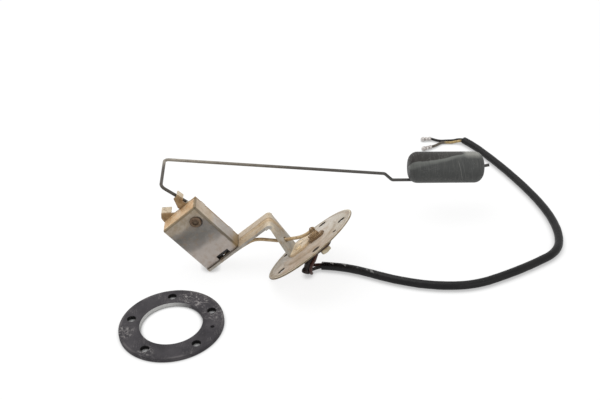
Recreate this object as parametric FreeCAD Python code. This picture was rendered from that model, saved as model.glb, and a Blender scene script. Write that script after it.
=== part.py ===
import FreeCAD, Part
import math
import os

# Fuel level sender, lying on a bench as it comes to rest. Millimetres and degrees.
# Housing frame: X across the housing towards the flange, Y away from the viewer,
# Z up the housing, origin at the flange's centre on its tank side.
# The flange frame is that frame turned by flange_twist about X.

# Mounting flange, a pressed sheet disc with five screw holes
flange_radius = 35.0
flange_sheet = 1.0
flange_edge_round = 0.35
screw_circle_from_edge = 8.0
screw_hole_radius = 2.7
screw_count = 5
screw_first_angle = 3.5
index_hole_radius = 1.3
index_hole_angle = -30.0
pan_from_edge = 13.6
pan_rise = 0.8
pan_slope_run = 1.2
flange_twist = 18.0

# Bracket strip from the flange to the housing
strip_sheet = 1.8
strip_bend_inside = 1.2
apex_bend_outside = 3.0
leg_face_x = -12.8
leg_front_at_foot = -8.0
leg_back_at_foot = 14.6
foot_reach = 14.0
foot_chamfer = 4.6
shelf_top_z = 25.2
shelf_front_y = 8.0
shelf_back_y = 24.3
shelf_corner_round = 2.5
weld_radius = 2.0
weld_depth = 0.3
weld_a = -6.8
weld_places = (3.4, 10.4)
bead_radius = 2.4
bead_rise = 0.9
bead_groove_radius = 1.2
bead_start_from_apex = 25.0
bead_drop = 13.0
leg_split_height = 8.0
lead_hole_radius = 2.1
lead_hole_height = 11.0
lead_hole_side = 4.6

# Housing cover and back plate, measured from the cover's front left open corner
cover_left_x = -70.0
cover_front_y = 9.4
cover_width = 29.2
cover_length = 42.6
cover_depth = 12.3
cover_sheet = 0.8
cover_edge_round = 1.3
notch_left = 12.0
notch_width = 10.2
notch_height = 3.8
tab_width = 4.0
tab_lip = 2.0
tab_from_ends = 7.6
tab_clearance = 0.15
plate_sheet = 1.2
plate_foot_depth = 5.0
plate_foot_side_gap = 3.0

# Pivot and its bearings
pivot_from_right = 7.5
pivot_from_top = 8.8
shaft_radius = 2.0
running_clearance = 0.05
eyelet_outer_radius = 3.9
eyelet_neck_radius = 3.0
eyelet_rim = 1.5
eyelet_round = 0.9
eyelet_inside = 1.2
bush_outer_radius = 3.4
bush_flange_radius = 4.6
bush_flange_thickness = 0.8
bush_inside = 1.6
shaft_set_back = 0.6

# Swing stops on the back plate
arm_rest_angle = 102.0
arm_full_angle = 138.0
stop_gap = 0.3
stem_foot_radius = 9.0
stem_foot_turn = 38.0
stem_waist_turn = 28.5
stem_shoulder_turn = 8.0
stem_edge = 0.5
lip_sheet = 1.2
rest_lip_inner = 12.6
rest_lip_outer = 17.4
rest_lip_depth = 5.7
full_lip_inner = 17.0
full_lip_outer = 23.7
full_lip_depth = 7.4

# Resistor card, winding and wiper
card_front_gap = 1.2
card_thickness = 1.4
card_side_gap = 1.8
card_bottom = 0.9
card_top = 16.4
winding_band = 5.4
winding_foot = 4.9
winding_side = 3.0
winding_overrun = 4.0
winding_right_lean = 5.6
winding_turns = 22
winding_wire = 0.35
winding_band_spare = 2.0
slot_spare = 1.0
slot_width = 1.0
post_radius = 1.5
post_head_radius = 2.0
post_head_height = 0.5
post_from_edge = 2.5
blade_width = 3.6
blade_sheet = 0.4
blade_hub_radius = 4.0
blade_hub_height = 2.2
contact_radius = 0.9
contact_height = 0.6
contact_gap = 0.3

# Float arm, bent from one wire
wire_radius = 1.1
arm_lever_sheet = 1.6
arm_lever_width = 6.4
arm_lever_tail = 6.0
arm_lever_reach = 6.0
arm_lever_gap = 0.3
arm_lever_hub = 4.4
arm_lever_round_inset = 0.6
saddle_from_end = 0.8
saddle_wall = 0.8
saddle_length = 2.6
crank_length = 28.7
crank_side_run = 36.0
arm_long_run = 156.2
arm_long_angle = -46.4
arm_jog_run = 7.8
arm_jog_angle = -85.0
arm_tail_run = 14.9
arm_tail_angle = -41.8
arm_bend_radius = 3.2
jog_bend_radius = 2.6
float_radius = 11.2
float_length = 53.8
float_end_round = 6.5
float_entry_offset = 10.4
float_entry_set_back = 4.1
float_exit_offset = 0.7
float_pin_out = 4.6
bore_clearance = 0.05

# Terminal through the flange, and the lead inside the tank
stud_a = 6.6
stud_b = -1.8
stud_radius = 2.0
stud_hole_radius = 3.2
stud_chamfer = 0.4
stack_left_reach = 4.4
stack_right_reach = 6.6
stack_half_width = 4.2
stack_corner_round = 2.0
insulator_thickness = 1.0
clamp_plate_inset = 0.6
clamp_plate_sheet = 0.8
inner_tag_sheet = 0.6
inner_tag_radius = 3.9
lug_width = 3.8
lug_height = 5.4
lug_reach = 4.8
lug_eye_radius = 1.3
inner_nut_flat = 7.0
inner_nut_height = 1.6
stud_above_nut = 0.5
block_left_reach = 10.0
block_right_reach = 7.0
block_width = 15.0
block_height = 7.2
block_edge_round = 1.4
block_corner_round = 5.4
outer_tag_sheet = 0.8
outer_tag_radius = 3.8
signal_tag_width = 3.0
signal_tag_reach = 6.2
outer_nut_flat = 6.6
outer_nut_height = 2.6
lead_radius = 1.15
lead_exit_radius = 2.7
lead_exit_x = 16.2
solder_tag_width = 2.8
solder_tag_height = 2.4
solder_tag_sheet = 0.8
earth_rivet_a = -6.6
earth_rivet_b = -4.0
earth_rivet_radius = 1.2
earth_head_radius = 2.3
earth_head_height = 1.0
earth_head_round = 0.6
earth_tag_sheet = 0.7
earth_ring_radius = 2.9
earth_tail_gap = 0.4
earth_tag_drop = 4.6
earth_tag_width = 2.6

# Cable, with its two cores and their connectors. Route points are from the point on
# the bench under the flange's centre.
sleeve_radius = 3.0
core_radius = 1.1
signal_route = [
    (1.0, -1.6, 8.2), (-1.5, -2.6, 1.9), (-4.6, -2.4, 1.4), (-6.0, 0.4, 1.9), (-3.4, 3.0, 2.4), (2.2, 3.6, 2.4),
]
earth_route = [(-3.6, -3.6, 8.6), (-4.2, -1.0, 4.8), (-0.6, 0.6, 3.9), (3.2, 1.2, 3.1)]
signal_tail_route = [(132.1, 159.6, 2.6), (126.5, 158.7, 1.3), (118.2, 157.4, 1.3), (111.6, 154.4, 1.5)]
earth_tail_route = [(133.3, 162.0, 2.6), (127.9, 162.7, 1.3), (120.1, 161.1, 1.3), (114.0, 165.1, 1.5)]
signal_bullet_place = (107.8, 152.9, 197.0)
earth_bullet_place = (109.9, 166.4, 178.0)
core_side = 1.15
bullet_radius = 1.9
bullet_length = 3.6
bullet_nose_length = 1.2
bullet_nose_radius = 1.05
crimp_radius = 1.6
crimp_length = 4.8
crimp_waist_radius = 1.05
crimp_dent = 0.45
lead_route = [
    (-52.6, 13.1, 21.0), (-46.0, 12.8, 20.0), (-37.6, 12.6, 20.7), (-29.4, 12.3, 20.6), (-21.0, 11.4, 12.0),
    (-16.6, 8.8, 9.8), (-9.6, 7.0, 7.6), (-5.0, 5.5, 5.7), (-0.4, 5.4, 4.2), (3.6, 5.5, 3.7),
]
sleeve_route = [
    (7.4, 1.9, 3.05), (17.8, -0.3, 3.05), (32.8, -6.8, 3.05), (52.7, -19.0, 3.05), (76.6, -28.8, 3.05),
    (103.4, -32.1, 3.05), (128.2, -23.4, 3.05), (150.1, -12.9, 3.05), (166.4, -3.2, 3.05),
    (173.3, 13.2, 3.05), (174.5, 35.1, 3.05), (171.4, 59.0, 3.05), (164.4, 85.9, 3.05),
    (156.3, 110.9, 3.05), (147.8, 132.9, 3.05), (141.4, 148.0, 3.05), (135.5, 157.6, 3.05),
]

# Gasket, lying apart on the bench
gasket_rim_inset = 1.5
gasket_inner_step = 1.4
gasket_thickness = 2.7
gasket_hole_radius = 2.75
gasket_first_angle = 20.4
gasket_index_angle = -13.6
gasket_plan_x = -91.7
gasket_plan_y = -45.6

# Longer than any piece, for the tools that cut right through
beyond = 200.0

X = FreeCAD.Vector(1, 0, 0)
Y = FreeCAD.Vector(0, 1, 0)
Z = FreeCAD.Vector(0, 0, 1)
origin = FreeCAD.Vector(0, 0, 0)

plate_front_y = cover_front_y + cover_depth
plate_back_y = plate_front_y + plate_sheet
pivot_from_left = cover_width - pivot_from_right
pivot_height = cover_length - pivot_from_top
pivot_x = cover_left_x + pivot_from_left
pivot_z = shelf_top_z + pivot_height
tab_heights = (tab_from_ends, cover_length - tab_from_ends)
lever_front_y = plate_back_y + bush_flange_thickness + arm_lever_gap
lever_back_y = lever_front_y + arm_lever_sheet
wire_y = lever_back_y + wire_radius
leg_back_face_x = leg_face_x - strip_sheet
screw_circle_radius = flange_radius - screw_circle_from_edge
pan_radius = flange_radius - pan_from_edge
gasket_outer_radius = flange_radius - gasket_rim_inset
gasket_inner_radius = pan_radius - gasket_inner_step
winding_turn = arm_full_angle - arm_rest_angle + 2 * winding_overrun
winding_room = pivot_height - card_bottom - winding_foot
winding_room_left = (pivot_from_left - card_side_gap - winding_side) / math.sin(
    math.radians(winding_turn - winding_right_lean))
winding_outer_radius = min(winding_room, winding_room_left)
card_arc_radius = winding_outer_radius - winding_band
winding_end_angle = 270 + winding_right_lean
winding_start_angle = winding_end_angle - winding_turn
wiper_angle_at_rest = winding_start_angle + winding_overrun


def vec(x, y, z):
    return FreeCAD.Vector(x, y, z)


def polar(radius, angle):
    a = math.radians(angle)
    return radius * math.cos(a), radius * math.sin(a)


def prism(points, push):
    """Solid made by pushing a closed polygon of vectors along a vector."""
    return Part.Face(Part.makePolygon(points + points[:1])).extrude(push)


def cylinder(radius, start, push):
    return Part.makeCylinder(radius, push.Length, start, push)


def drill(radius, point, axis):
    """Long round tool through a point, both ways along an axis."""
    return cylinder(radius, point - axis * beyond, axis * (2 * beyond))


def box(low, high):
    return Part.makeBox(high.x - low.x, high.y - low.y, high.z - low.z, low)


def edges_near(shape, points, reach=0.05):
    found = []
    for edge in shape.Edges:
        middle = edge.valueAt((edge.FirstParameter + edge.LastParameter) / 2)
        if any(middle.distanceToPoint(p) < reach for p in points):
            found.append(edge)
    return found


def hexagon(flat, start, push):
    """Hexagonal prism around a Z axis, by its width across flats."""
    corner = flat / math.sqrt(3)
    points = []
    for k in range(6):
        x, y = polar(corner, 60 * k)
        points.append(start + vec(x, y, 0))
    return prism(points, push)


def revolved(profile):
    """Solid turned about Z from (radius, height) points."""
    points = [vec(r, 0, h) for r, h in profile]
    return Part.Face(Part.makePolygon(points + points[:1])).revolve(origin, Z, 360)


def flange_to_housing(shape):
    return shape.rotated(origin, X, -flange_twist)


def flange_point(a, b, h):
    t = math.radians(flange_twist)
    return vec(a, b * math.cos(t) + h * math.sin(t), -b * math.sin(t) + h * math.cos(t))


def pivot_point(radius, angle, y):
    x, z = polar(radius, angle)
    return vec(pivot_x + x, y, pivot_z + z)


def rounded_path(points, radii):
    """Wire of straight runs joined by tangent arcs, one radius for each inner point."""
    edges = []
    start = points[0]
    for k in range(1, len(points) - 1):
        corner = points[k]
        back = (points[k - 1] - corner).normalize()
        ahead = (points[k + 1] - corner).normalize()
        half = back.getAngle(ahead) / 2
        reach = radii[k - 1] / math.tan(half)
        first = corner + back * reach
        last = corner + ahead * reach
        bisector = (back + ahead).normalize()
        middle = corner + bisector * (radii[k - 1] / math.sin(half) - radii[k - 1])
        edges.append(Part.LineSegment(start, first).toShape())
        edges.append(Part.Arc(first, middle, last).toShape())
        start = last
    edges.append(Part.LineSegment(start, points[-1]).toShape())
    return Part.Wire(edges)


def route_radii(points):
    """Largest even arcs for a cord: 0.45 of the shorter run over tan(half the turn)."""
    radii = []
    for k in range(1, len(points) - 1):
        before = points[k] - points[k - 1]
        after = points[k + 1] - points[k]
        turn = before.getAngle(after)
        radii.append(0.45 * min(before.Length, after.Length) / math.tan(turn / 2))
    return radii


def tube(wire, radius):
    first = wire.Edges[0]
    direction = first.tangentAt(first.FirstParameter)
    start = first.valueAt(first.FirstParameter)
    section = Part.Wire(Part.makeCircle(radius, start, direction))
    return wire.makePipeShell([section], True, False)


def cord(name, points, radius):
    """Round cord along its route, with a check of its volume and its radii."""
    radii = route_radii(points)
    wire = rounded_path(points, radii)
    solid = tube(wire, radius)
    ratio = solid.Volume / (math.pi * radius * radius * wire.Length)
    print(name, "length", round(wire.Length, 1), "volume ratio", round(ratio, 4),
          "radii", [round(r, 1) for r in radii])
    return solid


def flange_plate():
    low = -flange_sheet
    shoulder = pan_radius + pan_slope_run
    disc = revolved([
        (0, low + pan_rise), (pan_radius - flange_sheet / 2, low + pan_rise),
        (shoulder - flange_sheet / 2, low), (flange_radius, low), (flange_radius, 0),
        (shoulder, 0), (pan_radius, pan_rise), (0, pan_rise)])
    rim = [vec(-flange_radius, 0, low), vec(-flange_radius, 0, 0)]
    disc = disc.makeFillet(flange_edge_round, edges_near(disc, rim))
    for k in range(screw_count):
        x, y = polar(screw_circle_radius, screw_first_angle + 360 * k / screw_count)
        disc = disc.cut(drill(screw_hole_radius, vec(x, y, 0), Z))
    x, y = polar(screw_circle_radius, index_hole_angle)
    disc = disc.cut(drill(index_hole_radius, vec(x, y, 0), Z))
    disc = disc.cut(drill(stud_hole_radius, vec(stud_a, stud_b, 0), Z))
    disc = disc.cut(drill(earth_rivet_radius, vec(earth_rivet_a, earth_rivet_b, 0), Z))
    return flange_to_housing(disc)


def leg_outline():
    """Front and back edges of the upright leg, as a solid across the sheet."""
    front_foot = flange_point(0, leg_front_at_foot, pan_rise)
    back_foot = flange_point(0, leg_back_at_foot, pan_rise)
    side = [vec(0, front_foot.y, front_foot.z), vec(0, back_foot.y, back_foot.z),
            vec(0, shelf_back_y, shelf_top_z), vec(0, shelf_front_y, shelf_top_z)]
    shifted = [p + vec(leg_back_face_x - strip_bend_inside - strip_sheet, 0, 0) for p in side]
    return prism(shifted, vec(4 * strip_sheet + 2 * strip_bend_inside, 0, 0))


def upper_angle(extra):
    """Shelf and leg with their outside bend, grown outwards by extra."""
    right = leg_face_x + extra
    top = shelf_top_z + extra
    inner_right = leg_back_face_x
    inner_top = shelf_top_z - strip_sheet
    profile = [vec(cover_left_x, 0, inner_top), vec(inner_right, 0, inner_top), vec(inner_right, 0, -beyond),
               vec(right, 0, -beyond), vec(right, 0, top), vec(cover_left_x, 0, top)]
    solid = prism([p - Y * (beyond / 2) for p in profile], vec(0, 2 * beyond, 0))
    outer = edges_near(solid, [vec(right, beyond / 2, top)])
    solid = solid.makeFillet(apex_bend_outside + extra, outer)
    inner = edges_near(solid, [vec(inner_right, beyond / 2, inner_top)])
    return solid.makeFillet(apex_bend_outside - strip_sheet, inner)


def bead_path():
    """Line of the stiffening bead's centre, round the apex and part way down the leg."""
    sink = bead_radius - bead_rise
    y = (shelf_front_y + shelf_back_y) / 2
    top = shelf_top_z - sink
    right = leg_face_x - sink
    points = [vec(leg_face_x - bead_start_from_apex, y, top), vec(right, y, top),
              vec(right, y, shelf_top_z - bead_drop)]
    return points, rounded_path(points, [apex_bend_outside - sink])


def bracket_strip():
    upper = upper_angle(0.0)
    shelf = box(vec(cover_left_x, shelf_front_y, shelf_top_z - apex_bend_outside),
                vec(leg_face_x, shelf_back_y, shelf_top_z))
    corners = [vec(cover_left_x, y, shelf_top_z - apex_bend_outside / 2) for y in (shelf_front_y, shelf_back_y)]
    shelf = shelf.makeFillet(shelf_corner_round, edges_near(shelf, corners))
    leg = leg_outline()
    upper = upper.common(leg.fuse(shelf))
    split = flange_point(0, 0, pan_rise + leg_split_height).z
    above = box(vec(-2 * beyond, -beyond, split), vec(beyond, beyond, beyond))
    below = box(vec(-2 * beyond, -beyond, -beyond), vec(beyond, beyond, split))
    upper = upper.common(above)

    foot_top = pan_rise + strip_sheet
    foot_tip = leg_face_x + foot_reach
    profile = [(leg_back_face_x, pan_rise), (foot_tip, pan_rise), (foot_tip, foot_top), (leg_face_x, foot_top),
               (leg_face_x, beyond), (leg_back_face_x, beyond)]
    angle = prism([vec(x, -beyond, z) for x, z in profile], vec(0, 2 * beyond, 0))
    outer = edges_near(angle, [vec(leg_back_face_x, 0, pan_rise)])
    angle = angle.makeFillet(strip_bend_inside + strip_sheet, outer)
    inner = edges_near(angle, [vec(leg_face_x, 0, foot_top)])
    angle = angle.makeFillet(strip_bend_inside, inner)
    tip = leg_face_x + foot_reach
    corner = tip - foot_chamfer
    plan = [vec(leg_back_face_x, leg_front_at_foot, 0), vec(corner, leg_front_at_foot, 0),
            vec(tip, leg_front_at_foot + foot_chamfer, 0), vec(tip, leg_back_at_foot - foot_chamfer, 0),
            vec(corner, leg_back_at_foot, 0), vec(leg_back_face_x, leg_back_at_foot, 0)]
    bend_zone = foot_top + strip_bend_inside
    lower = flange_to_housing(angle).common(
        leg.fuse(flange_to_housing(prism(plan, vec(0, 0, bend_zone))))).common(below)
    strip = upper.fuse(lower).removeSplitter()

    points, path = bead_path()
    ridge = tube(path, bead_radius).fuse(Part.makeSphere(bead_radius, points[0]))
    ridge = ridge.fuse(Part.makeSphere(bead_radius, points[-1]))
    strip = strip.fuse(ridge.common(upper_angle(bead_rise + 0.3))).removeSplitter()
    groove = tube(path, bead_groove_radius).fuse(Part.makeSphere(bead_groove_radius, points[0]))
    strip = strip.cut(groove.fuse(Part.makeSphere(bead_groove_radius, points[-1])))

    strip = strip.cut(drill(lead_hole_radius, lead_hole_centre(), X))
    strip = strip.cut(cylinder(lead_exit_radius, lead_start() - Z * shelf_top_z, Z * shelf_top_z))
    for side in weld_places:
        spot = vec(weld_a, side, foot_top - weld_depth)
        strip = strip.cut(flange_to_housing(cylinder(weld_radius, spot, Z * strip_sheet)))
    shank = drill(earth_rivet_radius, vec(earth_rivet_a, earth_rivet_b, 0), Z)
    strip = strip.cut(flange_to_housing(shank))
    return strip


def lead_hole_centre():
    centre = flange_point(0, lead_hole_side, lead_hole_height)
    return vec((leg_face_x + leg_back_face_x) / 2, centre.y, centre.z)


def cover_point(x, y, z):
    return vec(cover_left_x + x, cover_front_y + y, shelf_top_z + z)


def housing_cover():
    outer = box(cover_point(0, 0, 0), cover_point(cover_width, cover_depth, cover_length))
    mid_z = cover_length / 2
    corners = [cover_point(0, 0, mid_z), cover_point(cover_width, 0, mid_z),
               cover_point(cover_width / 2, 0, cover_length), cover_point(0, cover_depth / 2, cover_length),
               cover_point(cover_width, cover_depth / 2, cover_length)]
    outer = outer.makeFillet(cover_edge_round, edges_near(outer, corners))
    inner = box(cover_point(cover_sheet, cover_sheet, -1),
                cover_point(cover_width - cover_sheet, cover_depth + 1, cover_length - cover_sheet))
    shell = outer.cut(inner)
    notch = box(cover_point(notch_left, -1, -1),
                cover_point(notch_left + notch_width, cover_sheet + 1, notch_height))
    shell = shell.cut(notch)
    shell = shell.cut(drill(eyelet_neck_radius, pivot_point(0, 0, cover_front_y), Y))
    out = plate_sheet + cover_sheet
    for height in tab_heights:
        for left, lip_left in ((0, 0), (cover_width - cover_sheet, cover_width - tab_lip)):
            low = height - tab_width / 2
            high = height + tab_width / 2
            wall = box(cover_point(left, cover_depth, low),
                       cover_point(left + cover_sheet, cover_depth + out, high))
            lip = box(cover_point(lip_left, cover_depth + plate_sheet, low),
                      cover_point(lip_left + tab_lip, cover_depth + out, high))
            shell = shell.fuse(wall).fuse(lip)
    return shell.removeSplitter()


def stop_lip(angle, inner, outer, depth, side):
    """Upright lip along a radius, its stop face on that radius; side is +1 counterclockwise."""
    x, z = polar(1, angle)
    along = vec(x, 0, z)
    across = vec(-z, 0, x) * side
    base = pivot_point(0, 0, plate_front_y)
    face = [base + along * inner, base + along * outer, base + along * outer + across * lip_sheet,
            base + along * inner + across * lip_sheet]
    return prism(face, Y * (plate_sheet + depth))


def stop_angles():
    """Angles of the two stop faces: the wire lies a small gap off each at its limit."""
    near = math.degrees(math.asin((wire_radius + stop_gap) / rest_lip_inner))
    far = math.degrees(math.asin((wire_radius + stop_gap) / full_lip_inner))
    return arm_rest_angle - near, arm_full_angle + far


def back_plate():
    plate = box(cover_point(0, cover_depth, 0),
                cover_point(cover_width, cover_depth + plate_sheet, cover_length))
    rest_face, full_face = stop_angles()
    front = plate_front_y
    rest_stem = [pivot_point(stem_foot_radius, rest_face, front), pivot_point(rest_lip_outer, rest_face, front),
                 pivot_point(rest_lip_outer + stem_edge, rest_face + stem_shoulder_turn, front),
                 pivot_point(rest_lip_inner, rest_face + stem_waist_turn, front),
                 pivot_point(stem_foot_radius, rest_face + stem_foot_turn, front)]
    plate = plate.fuse(prism(rest_stem, Y * plate_sheet))
    corner = cover_point(0, cover_depth, cover_length)
    full_stem = [pivot_point(stem_foot_radius, full_face, front), pivot_point(full_lip_outer, full_face, front),
                 pivot_point(full_lip_outer + stem_edge, full_face + stem_shoulder_turn, front), corner,
                 corner - Z * stem_foot_radius]
    plate = plate.fuse(prism(full_stem, Y * plate_sheet))
    plate = plate.fuse(stop_lip(rest_face, rest_lip_inner, rest_lip_outer, rest_lip_depth, -1))
    plate = plate.fuse(stop_lip(full_face, full_lip_inner, full_lip_outer, full_lip_depth, 1))
    foot = box(cover_point(plate_foot_side_gap, cover_depth - plate_foot_depth, 0),
               cover_point(cover_width - plate_foot_side_gap, cover_depth, plate_sheet))
    plate = plate.fuse(foot).removeSplitter()
    deep = cover_sheet + tab_clearance
    for height in tab_heights:
        for left in (0, cover_width - deep):
            low = height - tab_width / 2 - tab_clearance
            high = height + tab_width / 2 + tab_clearance
            plate = plate.cut(box(cover_point(left, cover_depth - 1, low),
                                  cover_point(left + deep, cover_depth + plate_sheet + 1, high)))
    plate = plate.cut(drill(bush_outer_radius, pivot_point(0, 0, plate_front_y), Y))
    for x, z in post_places():
        plate = plate.cut(drill(post_radius, vec(x, plate_front_y, z), Y))
    return plate


def cover_eyelet():
    """Front bearing: a rolled eyelet that carries the shaft's front end."""
    length = eyelet_rim + cover_sheet + eyelet_inside
    body = cylinder(eyelet_neck_radius, pivot_point(0, 0, cover_front_y - eyelet_rim), Y * length)
    rim = cylinder(eyelet_outer_radius, pivot_point(0, 0, cover_front_y - eyelet_rim), Y * eyelet_rim)
    front_edge = [pivot_point(eyelet_outer_radius, 180, cover_front_y - eyelet_rim),
                  pivot_point(eyelet_outer_radius, 0, cover_front_y - eyelet_rim),
                  pivot_point(eyelet_outer_radius, 90, cover_front_y - eyelet_rim),
                  pivot_point(eyelet_outer_radius, 270, cover_front_y - eyelet_rim)]
    rim = rim.makeFillet(eyelet_round, edges_near(rim, front_edge))
    eyelet = body.fuse(rim).removeSplitter()
    return eyelet.cut(drill(shaft_radius + running_clearance, pivot_point(0, 0, 0), Y))


def pivot_bush():
    """Rear bearing, pressed into the back plate with its flange behind it."""
    body = cylinder(bush_outer_radius, pivot_point(0, 0, plate_front_y - bush_inside),
                    Y * (plate_sheet + bush_inside))
    collar = cylinder(bush_flange_radius, pivot_point(0, 0, plate_back_y), Y * bush_flange_thickness)
    bore = drill(shaft_radius + running_clearance, pivot_point(0, 0, 0), Y)
    return body.fuse(collar).removeSplitter().cut(bore)


def card_front_y():
    return cover_front_y + cover_sheet + card_front_gap


def post_places():
    left = cover_left_x + card_side_gap + post_from_edge
    right = cover_left_x + cover_width - card_side_gap - post_from_edge
    z = shelf_top_z + card_bottom + post_from_edge
    return [(left, z), (right, z)]


def ring_sector(inner, outer, start, end, front, depth):
    """Part of a flat ring round the pivot between two angles, pushed along Y."""
    middle = (start + end) / 2
    edges = [
        Part.LineSegment(pivot_point(inner, start, front), pivot_point(outer, start, front)).toShape(),
        Part.Arc(pivot_point(outer, start, front), pivot_point(outer, middle, front),
                 pivot_point(outer, end, front)).toShape(),
        Part.LineSegment(pivot_point(outer, end, front), pivot_point(inner, end, front)).toShape(),
        Part.Arc(pivot_point(inner, end, front), pivot_point(inner, middle, front),
                 pivot_point(inner, start, front)).toShape()]
    return Part.Face(Part.Wire(edges)).extrude(Y * depth)


def resistor_card():
    """Insulating card with an arc along its top, where the wire is wound."""
    front = card_front_y()
    card = Part.makeBox(cover_width - 2 * card_side_gap, card_thickness, card_top - card_bottom,
                        vec(cover_left_x + card_side_gap, front, shelf_top_z + card_bottom))
    card = card.cut(drill(card_arc_radius, pivot_point(0, 0, front), Y))
    slot_inner = card_arc_radius + winding_band
    card = card.cut(ring_sector(slot_inner, slot_inner + slot_width, winding_start_angle - slot_spare,
                                winding_end_angle + slot_spare, 0, beyond))
    for x, z in post_places():
        card = card.cut(drill(post_radius, vec(x, front, z), Y))
    return card


def resistance_winding():
    """Bare resistance wire, wound turn beside turn round the card's arc."""
    front = card_front_y()
    grow = winding_wire
    outer = card_arc_radius + winding_band
    skin = ring_sector(card_arc_radius - grow / 2, outer + grow / 2, winding_start_angle, winding_end_angle,
                       front - grow / 2, card_thickness + grow)
    band = ring_sector(card_arc_radius, outer, winding_start_angle - winding_band_spare,
                       winding_end_angle + winding_band_spare, front, card_thickness)
    pitch = (winding_end_angle - winding_start_angle) / winding_turns
    for k in range(winding_turns):
        start = winding_start_angle + (k + 1 / 4) * pitch
        skin = skin.fuse(ring_sector(card_arc_radius - grow, outer + grow, start, start + pitch / 2,
                                     front - grow, card_thickness + 2 * grow))
    return skin.cut(band).removeSplitter()


def card_post(side):
    """Shouldered post that holds the card off the back plate, 0 left and 1 right."""
    front = card_front_y()
    x, z = post_places()[side]
    pin = cylinder(post_radius, vec(x, front, z), Y * (plate_back_y - front))
    shoulder = cylinder(post_head_radius, vec(x, front + card_thickness, z),
                        Y * (plate_front_y - front - card_thickness))
    head = cylinder(post_head_radius, vec(x, front - post_head_height, z), Y * post_head_height)
    return pin.fuse(shoulder).fuse(head).removeSplitter()


def card_post_left():
    return card_post(0)


def card_post_right():
    return card_post(1)


def blade_front_y():
    return card_front_y() + card_thickness + winding_wire + contact_gap + contact_height


def radial_strip(start, end, width, angle, front, depth):
    """Flat bar along a radius from the pivot, pushed along Y."""
    x, z = polar(1, angle)
    along = vec(x, 0, z)
    across = vec(-z, 0, x) * (width / 2)
    base = pivot_point(0, 0, front)
    return prism([base + along * start - across, base + along * end - across,
                  base + along * end + across, base + along * start + across], Y * depth)


def wiper_arm():
    """Spring blade and its hub, pressed on the shaft."""
    front = blade_front_y()
    reach = card_arc_radius + winding_band / 2
    blade = radial_strip(0, reach, blade_width, wiper_angle_at_rest, front, blade_sheet)
    tip = pivot_point(reach, wiper_angle_at_rest, front)
    blade = blade.fuse(cylinder(blade_width / 2, tip, Y * blade_sheet))
    hub = cylinder(blade_hub_radius, pivot_point(0, 0, front), Y * blade_hub_height)
    bore = drill(shaft_radius, pivot_point(0, 0, front), Y)
    rivet = drill(contact_radius / 2, tip, Y)
    return blade.fuse(hub).removeSplitter().cut(bore).cut(rivet)


def wiper_contact():
    """Domed button riveted through the blade's tip."""
    reach = card_arc_radius + winding_band / 2
    tip = pivot_point(reach, wiper_angle_at_rest, blade_front_y())
    shank = cylinder(contact_radius / 2, tip, Y * blade_sheet)
    button = cylinder(contact_radius, tip - Y * contact_height, Y * contact_height)
    face_y = tip.y - contact_height / 2
    edge = [e for e in button.Edges if e.Length > 6 * contact_radius and e.CenterOfMass.y < face_y]
    button = button.makeFillet(contact_height / 2, edge)
    return button.fuse(shank).removeSplitter()


def pivot_shaft():
    front = cover_front_y - eyelet_rim + shaft_set_back
    return cylinder(shaft_radius, pivot_point(0, 0, front), Y * (lever_back_y - front))


def arm_lever():
    """Lever on the shaft's end, with two saddles that clasp the wire."""
    bar = radial_strip(-arm_lever_tail, arm_lever_reach, arm_lever_width, arm_rest_angle,
                       lever_front_y, arm_lever_sheet)
    for radius, angle in ((arm_lever_tail, arm_rest_angle + 180), (arm_lever_reach, arm_rest_angle)):
        end = pivot_point(radius - arm_lever_round_inset, angle, lever_front_y)
        bar = bar.fuse(cylinder(arm_lever_width / 2, end, Y * arm_lever_sheet))
    hub = cylinder(arm_lever_hub, pivot_point(0, 0, lever_front_y), Y * arm_lever_sheet)
    bar = bar.fuse(hub).removeSplitter()
    bar = bar.cut(drill(shaft_radius, pivot_point(0, 0, lever_front_y), Y))
    x, z = polar(1, arm_rest_angle)
    along = vec(x, 0, z)
    behind = box(vec(pivot_x - beyond, lever_back_y, pivot_z - beyond),
                 vec(pivot_x + beyond, beyond, pivot_z + beyond))
    for start in (saddle_from_end - arm_lever_tail, arm_lever_reach - saddle_length - saddle_from_end):
        base = pivot_point(0, 0, wire_y) + along * start
        saddle = cylinder(wire_radius + saddle_wall, base, along * saddle_length)
        saddle = saddle.fuse(radial_strip(start, start + saddle_length, 2 * (wire_radius + saddle_wall),
                                          arm_rest_angle, lever_back_y, wire_radius))
        bar = bar.fuse(saddle.common(behind))
    bar = bar.removeSplitter()
    return bar.cut(drill(wire_radius, pivot_point(0, 0, wire_y), along))


def arm_points():
    """Corners of the float arm's wire, from its end on the lever to the pin at the float."""
    points = [pivot_point(arm_lever_tail, arm_rest_angle + 180, wire_y),
              pivot_point(crank_length, arm_rest_angle, wire_y)]
    points.append(points[-1] + Y * crank_side_run)
    for run, angle in ((arm_long_run, arm_long_angle), (arm_jog_run, arm_jog_angle),
                       (arm_tail_run, arm_tail_angle)):
        x, z = polar(run, angle)
        points.append(points[-1] + vec(x, 0, z))
    along, lift = float_axes()
    bore_run = along * (float_length - float_entry_set_back) + lift * (float_entry_offset + float_exit_offset)
    stretch = (bore_run.Length + float_pin_out) / bore_run.Length
    points.append(points[-1] + bore_run * stretch)
    return points


def float_axes():
    x, z = polar(1, arm_tail_angle)
    return vec(x, 0, z), vec(-z, 0, x)


def arm_path():
    return rounded_path(arm_points(), [arm_bend_radius] * 2 + [jog_bend_radius] * 3)


def float_wire():
    return tube(arm_path(), wire_radius)


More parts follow.
